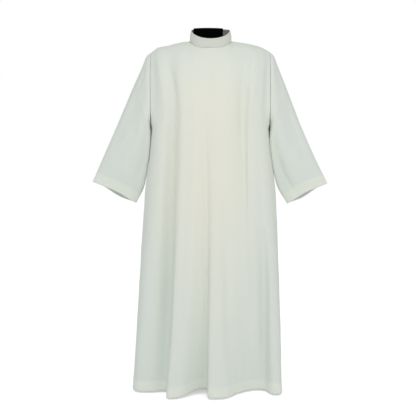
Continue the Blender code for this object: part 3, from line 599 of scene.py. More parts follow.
def neckline_loop():
    """The neckline's points from the centre back by the left to the front and round again."""
    rows = []
    for panel in PANELS:
        row = []
        for top, chest in zip(top_places(panel.lines), body_row(panel.lines, CHEST_Z)):
            x, depth, z = over_shoulder(panel, top, chest, 1.0)
            row.append((x, SEAM_Y + panel.towards * max(depth, SEAM_GAP / 2.0), z))
        rows.append([p for p in row if abs(p[0] - NECK_MIDDLE_X) < NECK_HALF_WIDTH])
    front, back = rows
    middle = len(back) // 2
    chain = np.array(back[middle::-1] + front + back[:middle - 1:-1])
    walked = np.concatenate([[0.0], np.cumsum(np.linalg.norm(np.diff(chain, axis=0), axis=1))])
    at = np.linspace(SEAM_GAP / 2.0, walked[-1] - SEAM_GAP / 2.0, COLLAR_CELLS + 1)
    loop = np.stack([np.interp(at, walked, chain[:, axis]) for axis in range(3)], axis=1)
    loop[:, 2] += SEAM_GAP
    return loop


def grid_normals(grid, closed, outward):
    """Direction away from the body at each point of a grid."""
    down = np.gradient(grid, axis=0)
    if closed:
        across = np.roll(grid, -1, axis=1) - np.roll(grid, 1, axis=1)
    else:
        across = np.gradient(grid, axis=1)
    normals = np.cross(down, across) * outward
    lengths = np.linalg.norm(normals, axis=2, keepdims=True)
    return normals / np.maximum(SHORTEST_NORMAL, lengths)


def crease_lift(creases, x, z):
    """How far a panel's creases raise or sink its points."""
    lift = np.zeros_like(x)
    for crease in creases:
        share = (crease.top_z - z) / (crease.top_z - crease.end_z)
        fade = smooth_step(share / CREASE_FADE_IN) * smooth_step((1.0 - share) / CREASE_FADE_OUT)
        inside = np.clip(share, 0.0, 1.0)
        middle = crease.top_x + (crease.end_x - crease.top_x) * inside
        middle = middle + crease.bow * np.sin(math.pi * inside)
        lift += crease.depth * np.exp(-((x - middle) / crease.width) ** 2) * fade
    return lift


def ripple_lift(across, down):
    """Slow unevenness of hanging cloth."""
    lift = np.zeros_like(across)
    for ripple in RIPPLES:
        phase = 2.0 * math.pi * (ripple.across * across + ripple.down * down) + ripple.start
        bend = np.cos(RIPPLE_BEND * phase * down + ripple.start)
        lift += ripple.height * np.sin(phase) * bend
    return lift


def real_size_map(grid, closed):
    """Metres across and down the cloth at each point, for the weave to follow."""
    across = np.zeros(grid.shape[:2])
    across[:, 1:] = np.cumsum(np.linalg.norm(np.diff(grid, axis=1), axis=2), axis=1)
    down = np.zeros(grid.shape[:2])
    down[1:, :] = np.cumsum(np.linalg.norm(np.diff(grid, axis=0), axis=2), axis=0)
    if not closed:
        across -= across[:, grid.shape[1] // 2][:, None]
    return across, down


def from_hem(grid):
    """Distance of each point from the last row, measured down the cloth."""
    steps = np.linalg.norm(np.diff(grid, axis=0), axis=2)
    away = np.zeros(grid.shape[:2])
    away[:-1, :] = np.cumsum(steps[::-1], axis=0)[::-1]
    return away


def lay_hem(away, band):
    """Lift over the turned-up hem: a soft step, with a dimple along its stitching."""
    step = HEM_STEP * smooth_step((band - away) / HEM_STEP_WIDTH)
    from_stitches = (away - band + STITCH_INSET) / STITCH_DIMPLE_WIDTH
    return step - STITCH_DIMPLE * np.exp(-from_stitches ** 2)


def double_share(away, band):
    """How much of the tone of double cloth each point gets, from its distance to the hem."""
    return smooth_step((band + BAND_OVERLAP - away) / BAND_SOFTNESS)


def cell_corners(table, outward):
    """Values at the four corners of each cell, in the order in which its face is drawn."""
    corners = (table[:-1, :-1], table[:-1, 1:], table[1:, 1:], table[1:, :-1])
    return np.stack(corners[::-1] if outward > 0 else corners, axis=2)


def add_object(name, data):
    """An object with its data, linked into the scene."""
    piece = bpy.data.objects.new(name, data)
    bpy.context.scene.collection.objects.link(piece)
    return piece


def grid_object(name, grid, closed, band, materials, thickness, outward):
    """A sheet through the grid's points with a real-size map, its hem band and its wall."""
    rows, columns = grid.shape[:2]
    index = np.arange(rows * columns).reshape(rows, columns)
    across, down = real_size_map(grid, closed)
    if closed:
        seam = across[:, -1:] + np.linalg.norm(grid[:, :1] - grid[:, -1:], axis=2)
        index = np.concatenate([index, index[:, :1]], axis=1)
        across = np.concatenate([across, seam], axis=1)
        down = np.concatenate([down, down[:, :1]], axis=1)
    faces = cell_corners(index, outward).reshape(-1, 4)
    spots = np.stack([cell_corners(across, outward), -cell_corners(down, outward)], axis=3)
    mesh = bpy.data.meshes.new(name)
    mesh.from_pydata(grid.reshape(-1, 3).tolist(), [], faces.tolist())
    layer = mesh.uv_layers.new(name="cloth")
    layer.data.foreach_set("uv", spots.reshape(-1).astype(np.float32))
    attribute = mesh.attributes.new("band", "FLOAT", "POINT")
    attribute.data.foreach_set("value", band.reshape(-1).astype(np.float32))
    mesh.shade_smooth()
    piece = add_object(name, mesh)
    for material in materials:
        mesh.materials.append(material)
    wall = piece.modifiers.new("wall", "SOLIDIFY")
    wall.thickness = thickness
    wall.offset = -1.0
    wall.material_offset = 1
    wall.material_offset_rim = 0
    return piece


def build_panel(panel, settings, materials):
    """The front or back, with its folds, creases, turned-up hem and dimpled seams."""
    grid = panel_grid(panel)
    outward = -panel.towards
    normals = grid_normals(grid, False, outward)
    across, down = real_size_map(grid, False)
    lift = crease_lift(panel.creases, grid[..., 0], grid[..., 2])
    lift = lift + ripple_lift(across, down + panel.towards)
    away = from_hem(grid)
    lift = lift * smooth_step(down / PANEL_CALM) + lay_hem(away, settings.hem_band)
    sides = np.zeros(grid.shape[1])
    sides[[0, -1]] = -settings.seam_dimple
    sides[[1, -2]] = -settings.seam_dimple * SECOND_DIMPLE
    lift += sides[None, :]
    shoulder = np.abs(grid[0, :, 0] - NECK_MIDDLE_X) > NECK_HALF_WIDTH
    lift[0, shoulder] -= settings.seam_dimple
    lift[1, shoulder] -= settings.seam_dimple * SHOULDER_SECOND_DIMPLE
    grid = grid + normals * lift[..., None]
    band = double_share(away, settings.hem_band)
    thickness = settings.cloth_thickness
    return grid_object(panel.piece, grid, False, band, materials, thickness, outward), grid


def sleeve_reach(reaches, along):
    """Outer edge, inner edge and half depth at one share of the sleeve's length."""
    columns = ("outer_x", "outer_z", "inner_x", "inner_z", "depth")
    values = [table_at(reaches, "along", column, along) for column in columns]
    outer = np.array((values[0], SEAM_Y, values[1]))
    inner = np.array((values[2], SEAM_Y, values[3]))
    return outer, inner, values[4]


def armhole_point(turn, right):
    """A point of the armhole; turn runs from the shoulder by the front to the underarm."""
    x = (ARMHOLE_X + SEAM_GAP / 2.0) * (1.0 if right else -1.0)
    top = ridge_height(ARMHOLE_X if right else -ARMHOLE_X)
    towards = -1.0 if math.sin(turn) >= 0.0 else 1.0
    roundness = FRONT_ROUND if towards < 0.0 else BACK_ROUND
    down = math.cos(turn)
    if down >= 0.0:
        z = CHEST_Z + (top - CHEST_Z) * down ** (2.0 / roundness)
        depth = ARMHOLE_DEPTH * abs(math.sin(turn)) ** (2.0 / roundness)
    else:
        z = CHEST_Z + (CHEST_Z - UNDERARM_Z) * down
        depth = ARMHOLE_DEPTH * abs(math.sin(turn))
    return np.array((x, SEAM_Y + towards * depth, z))


def fold_lift(folds, degrees, along):
    """How far a sleeve's folds raise or sink one of its points."""
    lift = 0.0
    for fold in folds:
        middle = fold.turn_top + (fold.turn_end - fold.turn_top) * along
        across = math.exp(-((degrees - middle) / fold.width) ** 2)
        rise = float(smooth_step((along - fold.start) / FOLD_RISE))
        fall = float(smooth_step((fold.end - along) / FOLD_FALL))
        lift += fold.depth * across * rise * fall
    return lift


def cuff_dip(turn, along):
    """How much longer the back of the sleeve hangs towards its cuff."""
    place = (1.0 - math.cos(turn)) / 2.0
    across = math.exp(-((place - CUFF_DIP_PLACE) / CUFF_DIP_WIDTH) ** 2)
    edge = min(1.0, -2.0 * math.sin(turn))
    start = float(smooth_step((along - CUFF_DIP_START) / (1.0 - CUFF_DIP_START)))
    return CUFF_DIP * across * edge * start


def cuff_arch(turn, along):
    """How far the front edge of the cuff arches up, so that the back shows below it."""
    place = (1.0 - math.cos(turn)) / 2.0
    start = float(smooth_step((along - CUFF_DIP_START) / (1.0 - CUFF_DIP_START)))
    return CUFF_ARCH * math.sin(math.pi * place) * math.sin(turn) * start


def sleeve_forward(turn):
    """Share of a sleeve's half depth at one place round it, fuller where it lies by the body."""
    forward = math.sin(turn)
    fullness = UNDERSIDE_FULLNESS if math.cos(turn) < 0.0 else 1.0
    return math.copysign(abs(forward) ** fullness, forward)


def sleeve_lean(turn, along):
    """How far the inner half of a sleeve's front leans in over the body's side."""
    forward = max(0.0, sleeve_forward(turn))
    inward = (1.0 - math.cos(turn)) / 2.0
    rise = smooth_step(along / LEAN_RISE)
    fall = 1.0 - smooth_step((along - LEAN_FALL) / (1.0 - LEAN_FALL))
    return SLEEVE_LEAN * forward * forward * inward * rise * fall


def sleeve_grid(sleeve):
    """Points of a sleeve, ring by ring from the armhole to the cuff, as an array."""
    side = 1.0 if sleeve.right else -1.0
    start = sleeve_reach(sleeve.reaches, 0.0)
    grid = np.zeros((SLEEVE_ROWS + 1, SLEEVE_CELLS, 3))
    for row in range(SLEEVE_ROWS + 1):
        along = row / SLEEVE_ROWS
        outer, inner, depth = sleeve_reach(sleeve.reaches, along)
        middle = (outer + inner) / 2.0
        half = (outer - inner) / 2.0
        down = np.array((-half[2], 0.0, half[0])) * -side / np.linalg.norm(half)
        share = 1.0 - float(smooth_step(along / CAP_REACH))
        for cell in range(SLEEVE_CELLS):
            turn = 2.0 * math.pi * cell / SLEEVE_CELLS
            forward = math.sin(turn)
            lift = fold_lift(sleeve.folds, math.degrees(turn), along)
            first = (start[0] + start[1]) / 2.0 + (start[0] - start[1]) / 2.0 * math.cos(turn)
            first[1] -= start[2] * sleeve_forward(turn)
            tube = middle + half * math.cos(turn)
            tube[1] -= depth * sleeve_forward(turn) + lift * forward
            tube[0] -= side * sleeve_lean(turn, along)
            if forward < 0.0:
                tube = tube + down * cuff_dip(turn, along)
            else:
                tube = tube - down * cuff_arch(turn, along)
            grid[row, cell] = tube + (armhole_point(turn, sleeve.right) - first) * share
    return grid


def sleeve_crease_lift(creases, degrees, along):
    """How far a sleeve's creases raise or sink its points."""
    lift = np.zeros_like(degrees)
    for crease in creases:
        share = (along - crease.start) / (crease.end - crease.start)
        inside = np.clip(share, 0.0, 1.0)
        middle = crease.turn_top + (crease.turn_end - crease.turn_top) * inside
        fade = smooth_step(share / SLEEVE_CREASE_FADE_IN)
        fade = fade * smooth_step((1.0 - share) / CREASE_FADE_OUT)
        lift += crease.depth * np.exp(-((degrees - middle) / crease.width) ** 2) * fade
    return lift


def build_sleeve(sleeve, settings, materials):
    """One sleeve, with its folds, creases and turned-up cuff."""
    grid = sleeve_grid(sleeve)
    outward = -1.0 if sleeve.right else 1.0
    normals = grid_normals(grid, True, outward)
    cells = np.arange(SLEEVE_CELLS)
    degrees = np.broadcast_to(cells * 360.0 / SLEEVE_CELLS, grid.shape[:2])
    rows = np.arange(SLEEVE_ROWS + 1)
    along = np.broadcast_to((rows / SLEEVE_ROWS)[:, None], grid.shape[:2])
    away = from_hem(grid)
    lift = sleeve_crease_lift(sleeve.creases, degrees, along)
    forward = np.sin(np.radians(degrees)) * SLEEVE_RIPPLE_ACROSS
    lift = lift + SLEEVE_RIPPLE_SHARE * ripple_lift(forward, along * SLEEVE_RIPPLE_DOWN)
    lift = lift * smooth_step(along / SLEEVE_CALM) + lay_hem(away, settings.cuff_band)
    lift[0] -= settings.seam_dimple
    lift[1] -= settings.seam_dimple * SECOND_DIMPLE
    grid = grid + normals * lift[..., None]
    band = double_share(away, settings.cuff_band)
    name = "alb_sleeve_" + sleeve.side
    thickness = settings.cloth_thickness
    return grid_object(name, grid, True, band, materials, thickness, outward), grid


def rim_turn(point):
    """Where on the rim a neckline point leads; zero is the centre back, and left comes first."""
    across = (NECK_MIDDLE_X - point[0]) / NECK_HALF_WIDTH
    away = point[1] - SEAM_Y
    return math.atan2(across, away / (NECK_BACK if away >= 0.0 else NECK_FRONT))


def rim_point(turn):
    """A point of the collar's folded top edge."""
    x = RIM_MIDDLE_X - RIM_HALF_WIDTH * math.sin(turn)
    away = math.cos(turn)
    y = away * (RIM_BACK if away >= 0.0 else RIM_FRONT)
    z = table_at(RIM_HEIGHTS, "back", "z", y)
    return np.array((x, SEAM_Y + y, z))


def collar_line(loop, share, inset):
    """Points round the collar at a share of its height, set in from its outer face."""
    line = []
    for point in loop:
        turn = rim_turn(point)
        away = np.array((-math.sin(turn), math.cos(turn), 0.0))
        middle = point * (1.0 - share) + rim_point(turn) * share
        line.append(middle + away * (COLLAR_BOW * math.sin(math.pi * share) - inset))
    return np.array(line)


def collar_profile(thick):
    """Section of the band, up outside, over and down inside: share of height, inset and rise."""
    fold_share = 1.0 - thick / 2.0 / COLLAR_MEAN_HEIGHT
    profile = [(fold_share * step / COLLAR_ROWS, 0.0, 0.0) for step in range(COLLAR_ROWS + 1)]
    for step in range(1, COLLAR_FOLD_STEPS):
        angle = math.pi * step / COLLAR_FOLD_STEPS
        inset = thick / 2.0 * (1.0 - math.cos(angle))
        profile.append((fold_share, inset, thick / 2.0 * math.sin(angle)))
    for step in range(COLLAR_ROWS + 1):
        profile.append((fold_share * (1.0 - step / COLLAR_ROWS), thick, 0.0))
    return profile


def map_collar(mesh, grid):
    """Gives the collar its real-size map, and its rim the tone of double cloth."""
    across, down = real_size_map(grid, False)
    across, down = across.reshape(-1), down.reshape(-1)
    layer = mesh.uv_layers.new(name="cloth")
    for corner in mesh.loops:
        layer.data[corner.index].uv = (across[corner.vertex_index], down[corner.vertex_index])
    to_fold = np.abs(down - down.max() / 2.0)
    rim = smooth_step(1.0 - to_fold / COLLAR_RIM_BAND)
    band = mesh.attributes.new("band", "FLOAT", "POINT")
    band.data.foreach_set("value", rim.astype(np.float32))


def build_collar(settings, material):
    """The stand band: outer face, folded top edge and inner face, its ends at the centre back."""
    loop = neckline_loop()
    profile = collar_profile(settings.collar_thickness)
    grid = np.array([collar_line(loop, share, inset) for share, inset, rise in profile])
    grid[..., 2] += np.array([rise for share, inset, rise in profile])[:, None]
    mesh = bpy.data.meshes.new("alb_collar")
    rows, columns = grid.shape[:2]
    index = np.arange(rows * columns).reshape(rows, columns)
    faces = cell_corners(index, -1.0).reshape(-1, 4).tolist()
    ends = np.stack((index[-1, :-1], index[-1, 1:], index[0, 1:], index[0, :-1]), axis=1)
    faces += ends.tolist()
    faces.append(index[::-1, 0].tolist())
    faces.append(index[:, -1].tolist())
    mesh.from_pydata(grid.reshape(-1, 3).tolist(), [], faces)
    map_collar(mesh, grid)
    work = bmesh.new()
    work.from_mesh(mesh)
    bmesh.ops.recalc_face_normals(work, faces=work.faces)
    work.to_mesh(mesh)
    work.free()
    mesh.shade_smooth()
    mesh.set_sharp_from_angle(angle=COLLAR_SHARP_ANGLE)
    mesh.materials.append(material)
    piece = add_object("alb_collar", mesh)
    return piece, loop


def new_material(name):
    """A material with its nodes, their links and its main shader."""
    material = bpy.data.materials.new(name)
    material.use_nodes = True
    nodes = material.node_tree.nodes
    return material, nodes, material.node_tree.links, nodes["Principled BSDF"]


def map_range(nodes, links, source, low, high, to_low, to_high):
    """The output of a node that maps a range of its source to another range."""
    node = nodes.new("ShaderNodeMapRange")
    node.inputs["From Min"].default_value = low
    node.inputs["From Max"].default_value = high
    node.inputs["To Min"].default_value = to_low
    node.inputs["To Max"].default_value = to_high
    links.new(source, node.inputs["Value"])
    return node.outputs["Result"]


def wave_bands(nodes, links, source, direction, scale, distortion, detail, detail_scale):
    """The output of a node with bands of waves that follow each other in one direction."""
    node = nodes.new("ShaderNodeTexWave")
    node.wave_type = "BANDS"
    node.bands_direction = direction
    node.inputs["Scale"].default_value = scale
    node.inputs["Distortion"].default_value = distortion
    node.inputs["Detail"].default_value = detail
    node.inputs["Detail Scale"].default_value = detail_scale
    links.new(source, node.inputs["Vector"])
    return node.outputs["Fac"]


def noise(nodes, links, source, scale, detail):
    """The output of a node with soft noise."""
    node = nodes.new("ShaderNodeTexNoise")
    node.inputs["Scale"].default_value = scale
    node.inputs["Detail"].default_value = detail
    links.new(source, node.inputs["Vector"])
    return node.outputs["Fac"]


def product(nodes, links, first, second):
    """The output of a node that multiplies two sources."""
    node = nodes.new("ShaderNodeMath")
    node.operation = "MULTIPLY"
    links.new(first, node.inputs[0])
    links.new(second, node.inputs[1])
    return node.outputs["Value"]


def share_added(nodes, links, source, share, other, clamped=False):
    """The output of a node that adds a share of one source to another."""
    node = nodes.new("ShaderNodeMath")
    node.operation = "MULTIPLY_ADD"
    node.use_clamp = clamped
    node.inputs[1].default_value = share
    links.new(source, node.inputs[0])
    links.new(other, node.inputs[2])
    return node.outputs["Value"]


def mixed(nodes, links, factor, first, second, blend="MIX"):
    """The output of a node that mixes two colours, each a plain one or another node's output."""
    node = nodes.new("ShaderNodeMix")
    node.data_type = "RGBA"
    node.blend_type = blend
    for label, colour in (("A", first), ("B", second)):
        if isinstance(colour, bpy.types.NodeSocket):
            links.new(colour, node.inputs[label])
        else:
            node.inputs[label].default_value = colour
    links.new(factor, node.inputs["Factor"])
    return node.outputs["Result"]


def add_relief(nodes, links, shader, height, strength, distance):
    """Makes the shader look uneven by a height, with its distance in metres."""
    node = nodes.new("ShaderNodeBump")
    node.inputs["Strength"].default_value = strength
    node.inputs["Distance"].default_value = distance
    links.new(height, node.inputs["Height"])
    links.new(node.outputs["Normal"], shader.inputs["Normal"])


def shaded(colour, share):
    """A colour made darker or lighter by a share."""
    return [min(1.0, c * share) for c in colour[:3]] + [1.0]


def painted_light_share(nodes, links, place):
    """How much lighter, warmer painted light rather than darker, cooler painted shade the cloth's
    tone gets at each place, with a slow random drift.
    """
    apart = nodes.new("ShaderNodeSeparateXYZ")
    links.new(place, apart.inputs["Vector"])
    aside = nodes.new("ShaderNodeMath")
    aside.operation = "ABSOLUTE"
    links.new(apart.outputs["X"], aside.inputs[0])
    middle = map_range(nodes, links, aside.outputs["Value"], *PAINTED_LIGHT_ACROSS)
    height = map_range(nodes, links, apart.outputs["Z"], *PAINTED_LIGHT_UP)
    by_neck = map_range(nodes, links, apart.outputs["Z"], *PAINTED_SHADE_BY_NECK)
    painted_light = product(nodes, links, middle, product(nodes, links, height, by_neck))
    drift = noise(nodes, links, place, scale=2.6, detail=2.0)
    return share_added(nodes, links, drift, WARM_DRIFT, painted_light, clamped=True)


def cloth_material(name, finish, painted_shade_share):
    """Plain-woven ivory cloth: a weave laid out in metres, slubs, and painted light and shade in its
    tone.
    """
    material, nodes, links, shader = new_material(name)
    layer = nodes.new("ShaderNodeUVMap")
    layer.uv_map = "cloth"
    spot = layer.outputs["UV"]
    place = nodes.new("ShaderNodeTexCoord").outputs["Object"]
    threads = [
        wave_bands(
            nodes, links, spot, direction, scale=finish.weave_fineness / WAVE_TURN,
            distortion=1.2, detail=1.0, detail_scale=2.0,
        )
        for direction in ("X", "Y")
    ]
    weave = product(nodes, links, *threads)
    slub = noise(nodes, links, spot, scale=420.0, detail=3.0)
    relief = share_added(nodes, links, slub, SLUB_SHARE, weave)
    add_relief(nodes, links, shader, relief, strength=0.22, distance=0.0002)
    # Painted light and shade: the cool tone is painted shade and the warm tone painted light, mixed
    # by place; a share below one makes the whole copy darker, as painted shade.
    painted_shade = shaded(finish.painted_shade_colour, painted_shade_share)
    painted_light = shaded(finish.lit_ivory_colour, painted_shade_share)
    ground = mixed(nodes, links, painted_light_share(nodes, links, place), painted_shade, painted_light)
    woven = mixed(nodes, links, weave, ground, THREAD_TINT, "MULTIPLY")
    double = nodes.new("ShaderNodeAttribute")
    double.attribute_name = "band"
    band = shaded(finish.band_colour, painted_shade_share)
    colour = mixed(nodes, links, double.outputs["Fac"], woven, band)
    links.new(colour, shader.inputs["Base Color"])
    shader.inputs["Roughness"].default_value = 0.82
    shader.inputs["Specular IOR Level"].default_value = 0.25
    shader.inputs["Sheen Weight"].default_value = finish.sheen
    shader.inputs["Sheen Roughness"].default_value = 0.45
    return material


def thread_material(finish):
    """Sewing thread: a twisted strand, a little glossier than the cloth."""
    material, nodes, links, shader = new_material("ivory thread")
    place = nodes.new("ShaderNodeTexCoord").outputs["Object"]
    twist = noise(nodes, links, place, scale=2600.0, detail=2.0)
    darker = shaded(finish.lit_ivory_colour, 0.80)
    lighter = shaded(finish.lit_ivory_colour, 0.96)
    colour = mixed(nodes, links, twist, darker, lighter)
    links.new(colour, shader.inputs["Base Color"])
    shader.inputs["Roughness"].default_value = 0.55
    return material


def cover_material(finish):
    """Black jersey cover of the form: fine ribs with a little lint."""
    material, nodes, links, shader = new_material("black jersey cover")
    place = nodes.new("ShaderNodeTexCoord").outputs["Object"]
    knit = wave_bands(
        nodes, links, place, "Z", scale=55.0, distortion=2.5, detail=2.0, detail_scale=6.0
    )
    lint = noise(nodes, links, place, scale=340.0, detail=6.0)
    linty = shaded(finish.cover_colour, 2.2)
    colour = mixed(nodes, links, lint, finish.cover_colour, linty)
    links.new(colour, shader.inputs["Base Color"])
    add_relief(nodes, links, shader, knit, strength=0.25, distance=0.0003)
    shader.inputs["Roughness"].default_value = 1.0
    shader.inputs["Specular IOR Level"].default_value = 0.02
    return material


def steel_material(finish):
    """Black powder coat on the stand: fine orange peel, worn a little smoother in places."""
    material, nodes, links, shader = new_material("black powder coat")
    place = nodes.new("ShaderNodeTexCoord").outputs["Object"]
    peel = noise(nodes, links, place, scale=900.0, detail=2.0)
    add_relief(nodes, links, shader, peel, strength=0.2, distance=0.0002)
    wear = noise(nodes, links, place, scale=18.0, detail=5.0)
    rough = map_range(nodes, links, wear, 0.0, 1.0, 0.34, 0.58)
    links.new(rough, shader.inputs["Roughness"])
    shader.inputs["Base Color"].default_value = finish.steel_colour
    return material


def stitch_tree():
    """Stitches along a path: one short rounded strand every pitch, turned along the path."""
    tree = bpy.data.node_groups.new("stitch line", "GeometryNodeTree")
    face = tree.interface
    face.new_socket(name="Path", in_out="INPUT", socket_type="NodeSocketGeometry")
    for label in ("Pitch", "Strand Length", "Strand Thickness"):
        face.new_socket(name=label, in_out="INPUT", socket_type="NodeSocketFloat")
    face.new_socket(name="Thread", in_out="INPUT", socket_type="NodeSocketMaterial")
    face.new_socket(name="Stitches", in_out="OUTPUT", socket_type="NodeSocketGeometry")
    nodes, links = tree.nodes, tree.links
    given = nodes.new("NodeGroupInput")
    result = nodes.new("NodeGroupOutput")
    curve = nodes.new("GeometryNodeMeshToCurve")
    points = nodes.new("GeometryNodeCurveToPoints")
    points.mode = "LENGTH"
    strand = nodes.new("GeometryNodeMeshUVSphere")
    strand.inputs["Segments"].default_value = STRAND_SEGMENTS
    strand.inputs["Rings"].default_value = STRAND_RINGS
    strand.inputs["Radius"].default_value = 0.5
    size = nodes.new("ShaderNodeCombineXYZ")
    place = nodes.new("GeometryNodeInstanceOnPoints")
    real = nodes.new("GeometryNodeRealizeInstances")
    paint = nodes.new("GeometryNodeSetMaterial")
    links.new(given.outputs["Path"], curve.inputs["Mesh"])
    links.new(curve.outputs["Curve"], points.inputs["Curve"])
    links.new(given.outputs["Pitch"], points.inputs["Length"])
    links.new(given.outputs["Strand Thickness"], size.inputs["X"])
    links.new(given.outputs["Strand Thickness"], size.inputs["Y"])
    links.new(given.outputs["Strand Length"], size.inputs["Z"])
    links.new(points.outputs["Points"], place.inputs["Points"])
    links.new(points.outputs["Rotation"], place.inputs["Rotation"])
    links.new(strand.outputs["Mesh"], place.inputs["Instance"])
    links.new(size.outputs["Vector"], place.inputs["Scale"])
    links.new(place.outputs["Instances"], real.inputs["Geometry"])
    links.new(real.outputs["Geometry"], paint.inputs["Geometry"])
    links.new(given.outputs["Thread"], paint.inputs["Material"])
    links.new(paint.outputs["Geometry"], result.inputs["Stitches"])
    return tree


def sew(name, paths, settings, material):
    """Bakes the stitches along one or more paths into a plain mesh."""
    vertices, edges = [], []
    for path in paths:
        start = len(vertices)
        vertices += [tuple(point) for point in path]
        edges += [(start + i, start + i + 1) for i in range(len(path) - 1)]
    mesh = bpy.data.meshes.new(name + " path")
    mesh.from_pydata(vertices, edges, [])
    guide = add_object(name + " path", mesh)
    tree = bpy.data.node_groups.get("stitch line") or stitch_tree()
    sewing = guide.modifiers.new("stitches", "NODES")
    sewing.node_group = tree
    values = {
        "Pitch": settings.stitch_pitch,
        "Strand Length": settings.stitch_length,
        "Strand Thickness": settings.stitch_thickness,
        "Thread": material,
    }
    for item in tree.interface.items_tree:
        if item.item_type == "SOCKET" and item.name in values:
            sewing[item.identifier] = values[item.name]
    bpy.context.view_layer.update()
    depsgraph = bpy.context.evaluated_depsgraph_get()
    baked = bpy.data.meshes.new_from_object(guide.evaluated_get(depsgraph))
    bpy.data.objects.remove(guide)
    baked.name = name
    baked.shade_smooth()
    return add_object(name, baked)


def line_down(grid, away, target):
    """Points of the cloth at one distance from its hem."""
    path = []
    for c in range(grid.shape[1]):
        column = away[:, c]
        r = int(np.argmin(np.abs(column - target)))
        other = r - 1 if column[r] < target else r + 1
        other = min(len(column) - 1, max(0, other))
        span = column[other] - column[r]
        share = 0.0 if span == 0.0 else (target - column[r]) / span
        path.append(grid[r, c] * (1.0 - share) + grid[other, c] * share)
    return path


def claim(piece, nodes=()):
    """Lets a piece ride on the garment's body, and hides the CAD nodes that it replaces."""
    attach(piece, "root")
    if nodes:
        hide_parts(*nodes)


def neck_rings(low, high):
    """Rings of the neck block: straight sides, a rounded edge and a slightly domed top."""
    half_width = (high[0] - low[0]) / 2.0
    half_depth = (high[1] - low[1]) / 2.0
    side_top = high[2] - NECK_DOME
    rings = [(low[2], half_width, half_depth)]
    for step in range(NECK_EDGE_STEPS + 1):
        turn = math.pi / 2.0 * step / NECK_EDGE_STEPS
        inset = NECK_EDGE * (1.0 - math.cos(turn))
        z = side_top - NECK_EDGE * (1.0 - math.sin(turn))
        rings.append((z, half_width - inset, half_depth - inset))
    for share in NECK_DOME_SHARES:
        z = side_top + NECK_DOME * (1.0 - share * share)
        rings.append((z, half_width * share, half_depth * share))
    return rings


def ring_object(name, rings, middle, cells, material):
    """A closed body through level oval rings, each a height, a half width and a half depth."""
    work = bmesh.new()
    loops = []
    for z, half_width, half_depth in rings:
        loop = []
        for cell in range(cells):
            turn = 2.0 * math.pi * cell / cells
            x = middle[0] + half_width * math.cos(turn)
            y = middle[1] + half_depth * math.sin(turn)
            loop.append(work.verts.new((x, y, z)))
        loops.append(loop)
    for lower, upper in zip(loops, loops[1:]):
        for c in range(cells):
            n = (c + 1) % cells
            work.faces.new((lower[c], lower[n], upper[n], upper[c]))
    work.faces.new(list(reversed(loops[0])))
    work.faces.new(loops[-1])
    bmesh.ops.recalc_face_normals(work, faces=work.faces)
    mesh = bpy.data.meshes.new(name)
    work.to_mesh(mesh)
    work.free()
    mesh.shade_smooth()
    mesh.set_sharp_from_angle(angle=RING_SHARP_ANGLE)
    mesh.materials.append(material)
    return add_object(name, mesh)


class AlbClothSettings(bpy.types.PropertyGroup):
    """Sizes of the alb's cloth and sewing."""

    cloth_thickness: bpy.props.FloatProperty(
        name="Cloth thickness", description="Thickness of the shown cloth wall",
        default=0.0011, min=0.0004, max=0.003, unit="LENGTH", precision=5,
    )
    collar_thickness: bpy.props.FloatProperty(
        name="Collar thickness", description="Thickness of the double collar band",
        default=0.0026, min=0.001, max=0.004, unit="LENGTH", precision=5,
    )
    hem_band: bpy.props.FloatProperty(
        name="Hem", description="Depth of the turned-up hem",
        default=0.049, min=0.01, max=0.1, unit="LENGTH", precision=4,
    )
    cuff_band: bpy.props.FloatProperty(
        name="Cuff hem", description="Depth of the turned-up hem of each cuff",
        default=0.047, min=0.01, max=0.1, unit="LENGTH", precision=4,
    )
    seam_dimple: bpy.props.FloatProperty(
        name="Seam dimple", description="How far the cloth sinks in at a seam",
        default=0.0005, min=0.0, max=0.003, unit="LENGTH", precision=5,
    )
    stitch_pitch: bpy.props.FloatProperty(
        name="Stitch pitch", description="Distance from one stitch to the next",
        default=0.0032, min=0.001, max=0.01, unit="LENGTH", precision=5,
    )
    stitch_length: bpy.props.FloatProperty(
        name="Stitch length", description="Length of the thread that shows in each stitch",
        default=0.0024, min=0.0005, max=0.01, unit="LENGTH", precision=5,
    )
    stitch_thickness: bpy.props.FloatProperty(
        name="Thread thickness", description="Thickness of the sewing thread",
        default=0.00045, min=0.0001, max=0.002, unit="LENGTH", precision=5,
    )


class AlbFinishSettings(bpy.types.PropertyGroup):
    """Colours and finishes of the cloth and the form."""

    # Painted light and shade: the warm tone is the lighter one painted where light falls, and also
    # the thread's colour; the cool tone is the darker one painted as shade.
    lit_ivory_colour: bpy.props.FloatVectorProperty(
        name="Ivory, painted light", description="The cloth's lighter tone where painted light falls, also the thread's",
        subtype="COLOR", size=4, min=0.0, max=1.0, default=(0.825, 0.828, 0.735, 1.0),
    )
    painted_shade_colour: bpy.props.FloatVectorProperty(
        name="Ivory, painted shade", description="The cloth's darker tone of painted shade",
        subtype="COLOR", size=4, min=0.0, max=1.0, default=(0.700, 0.770, 0.735, 1.0),
    )
    band_colour: bpy.props.FloatVectorProperty(
        name="Ivory, double", description="The tone where the cloth lies double",
        subtype="COLOR", size=4, min=0.0, max=1.0, default=(0.765, 0.805, 0.740, 1.0),
    )
    cover_colour: bpy.props.FloatVectorProperty(
        name="Form cover", description="Colour of the form's jersey cover",
        subtype="COLOR", size=4, min=0.0, max=1.0, default=(0.0008, 0.0008, 0.0008, 1.0),
    )
    steel_colour: bpy.props.FloatVectorProperty(
        name="Stand", description="Colour of the pole and base",
        subtype="COLOR", size=4, min=0.0, max=1.0, default=(0.012, 0.012, 0.013, 1.0),
    )
    weave_fineness: bpy.props.FloatProperty(
        name="Weave fineness", description="Threads in a metre of cloth, times two pi",
        default=2400.0, min=500.0, max=6000.0,
    )
    sheen: bpy.props.FloatProperty(
        name="Sheen", description="Soft glow of the cloth's nap",
        default=0.12, min=0.0, max=1.0, subtype="FACTOR",
    )


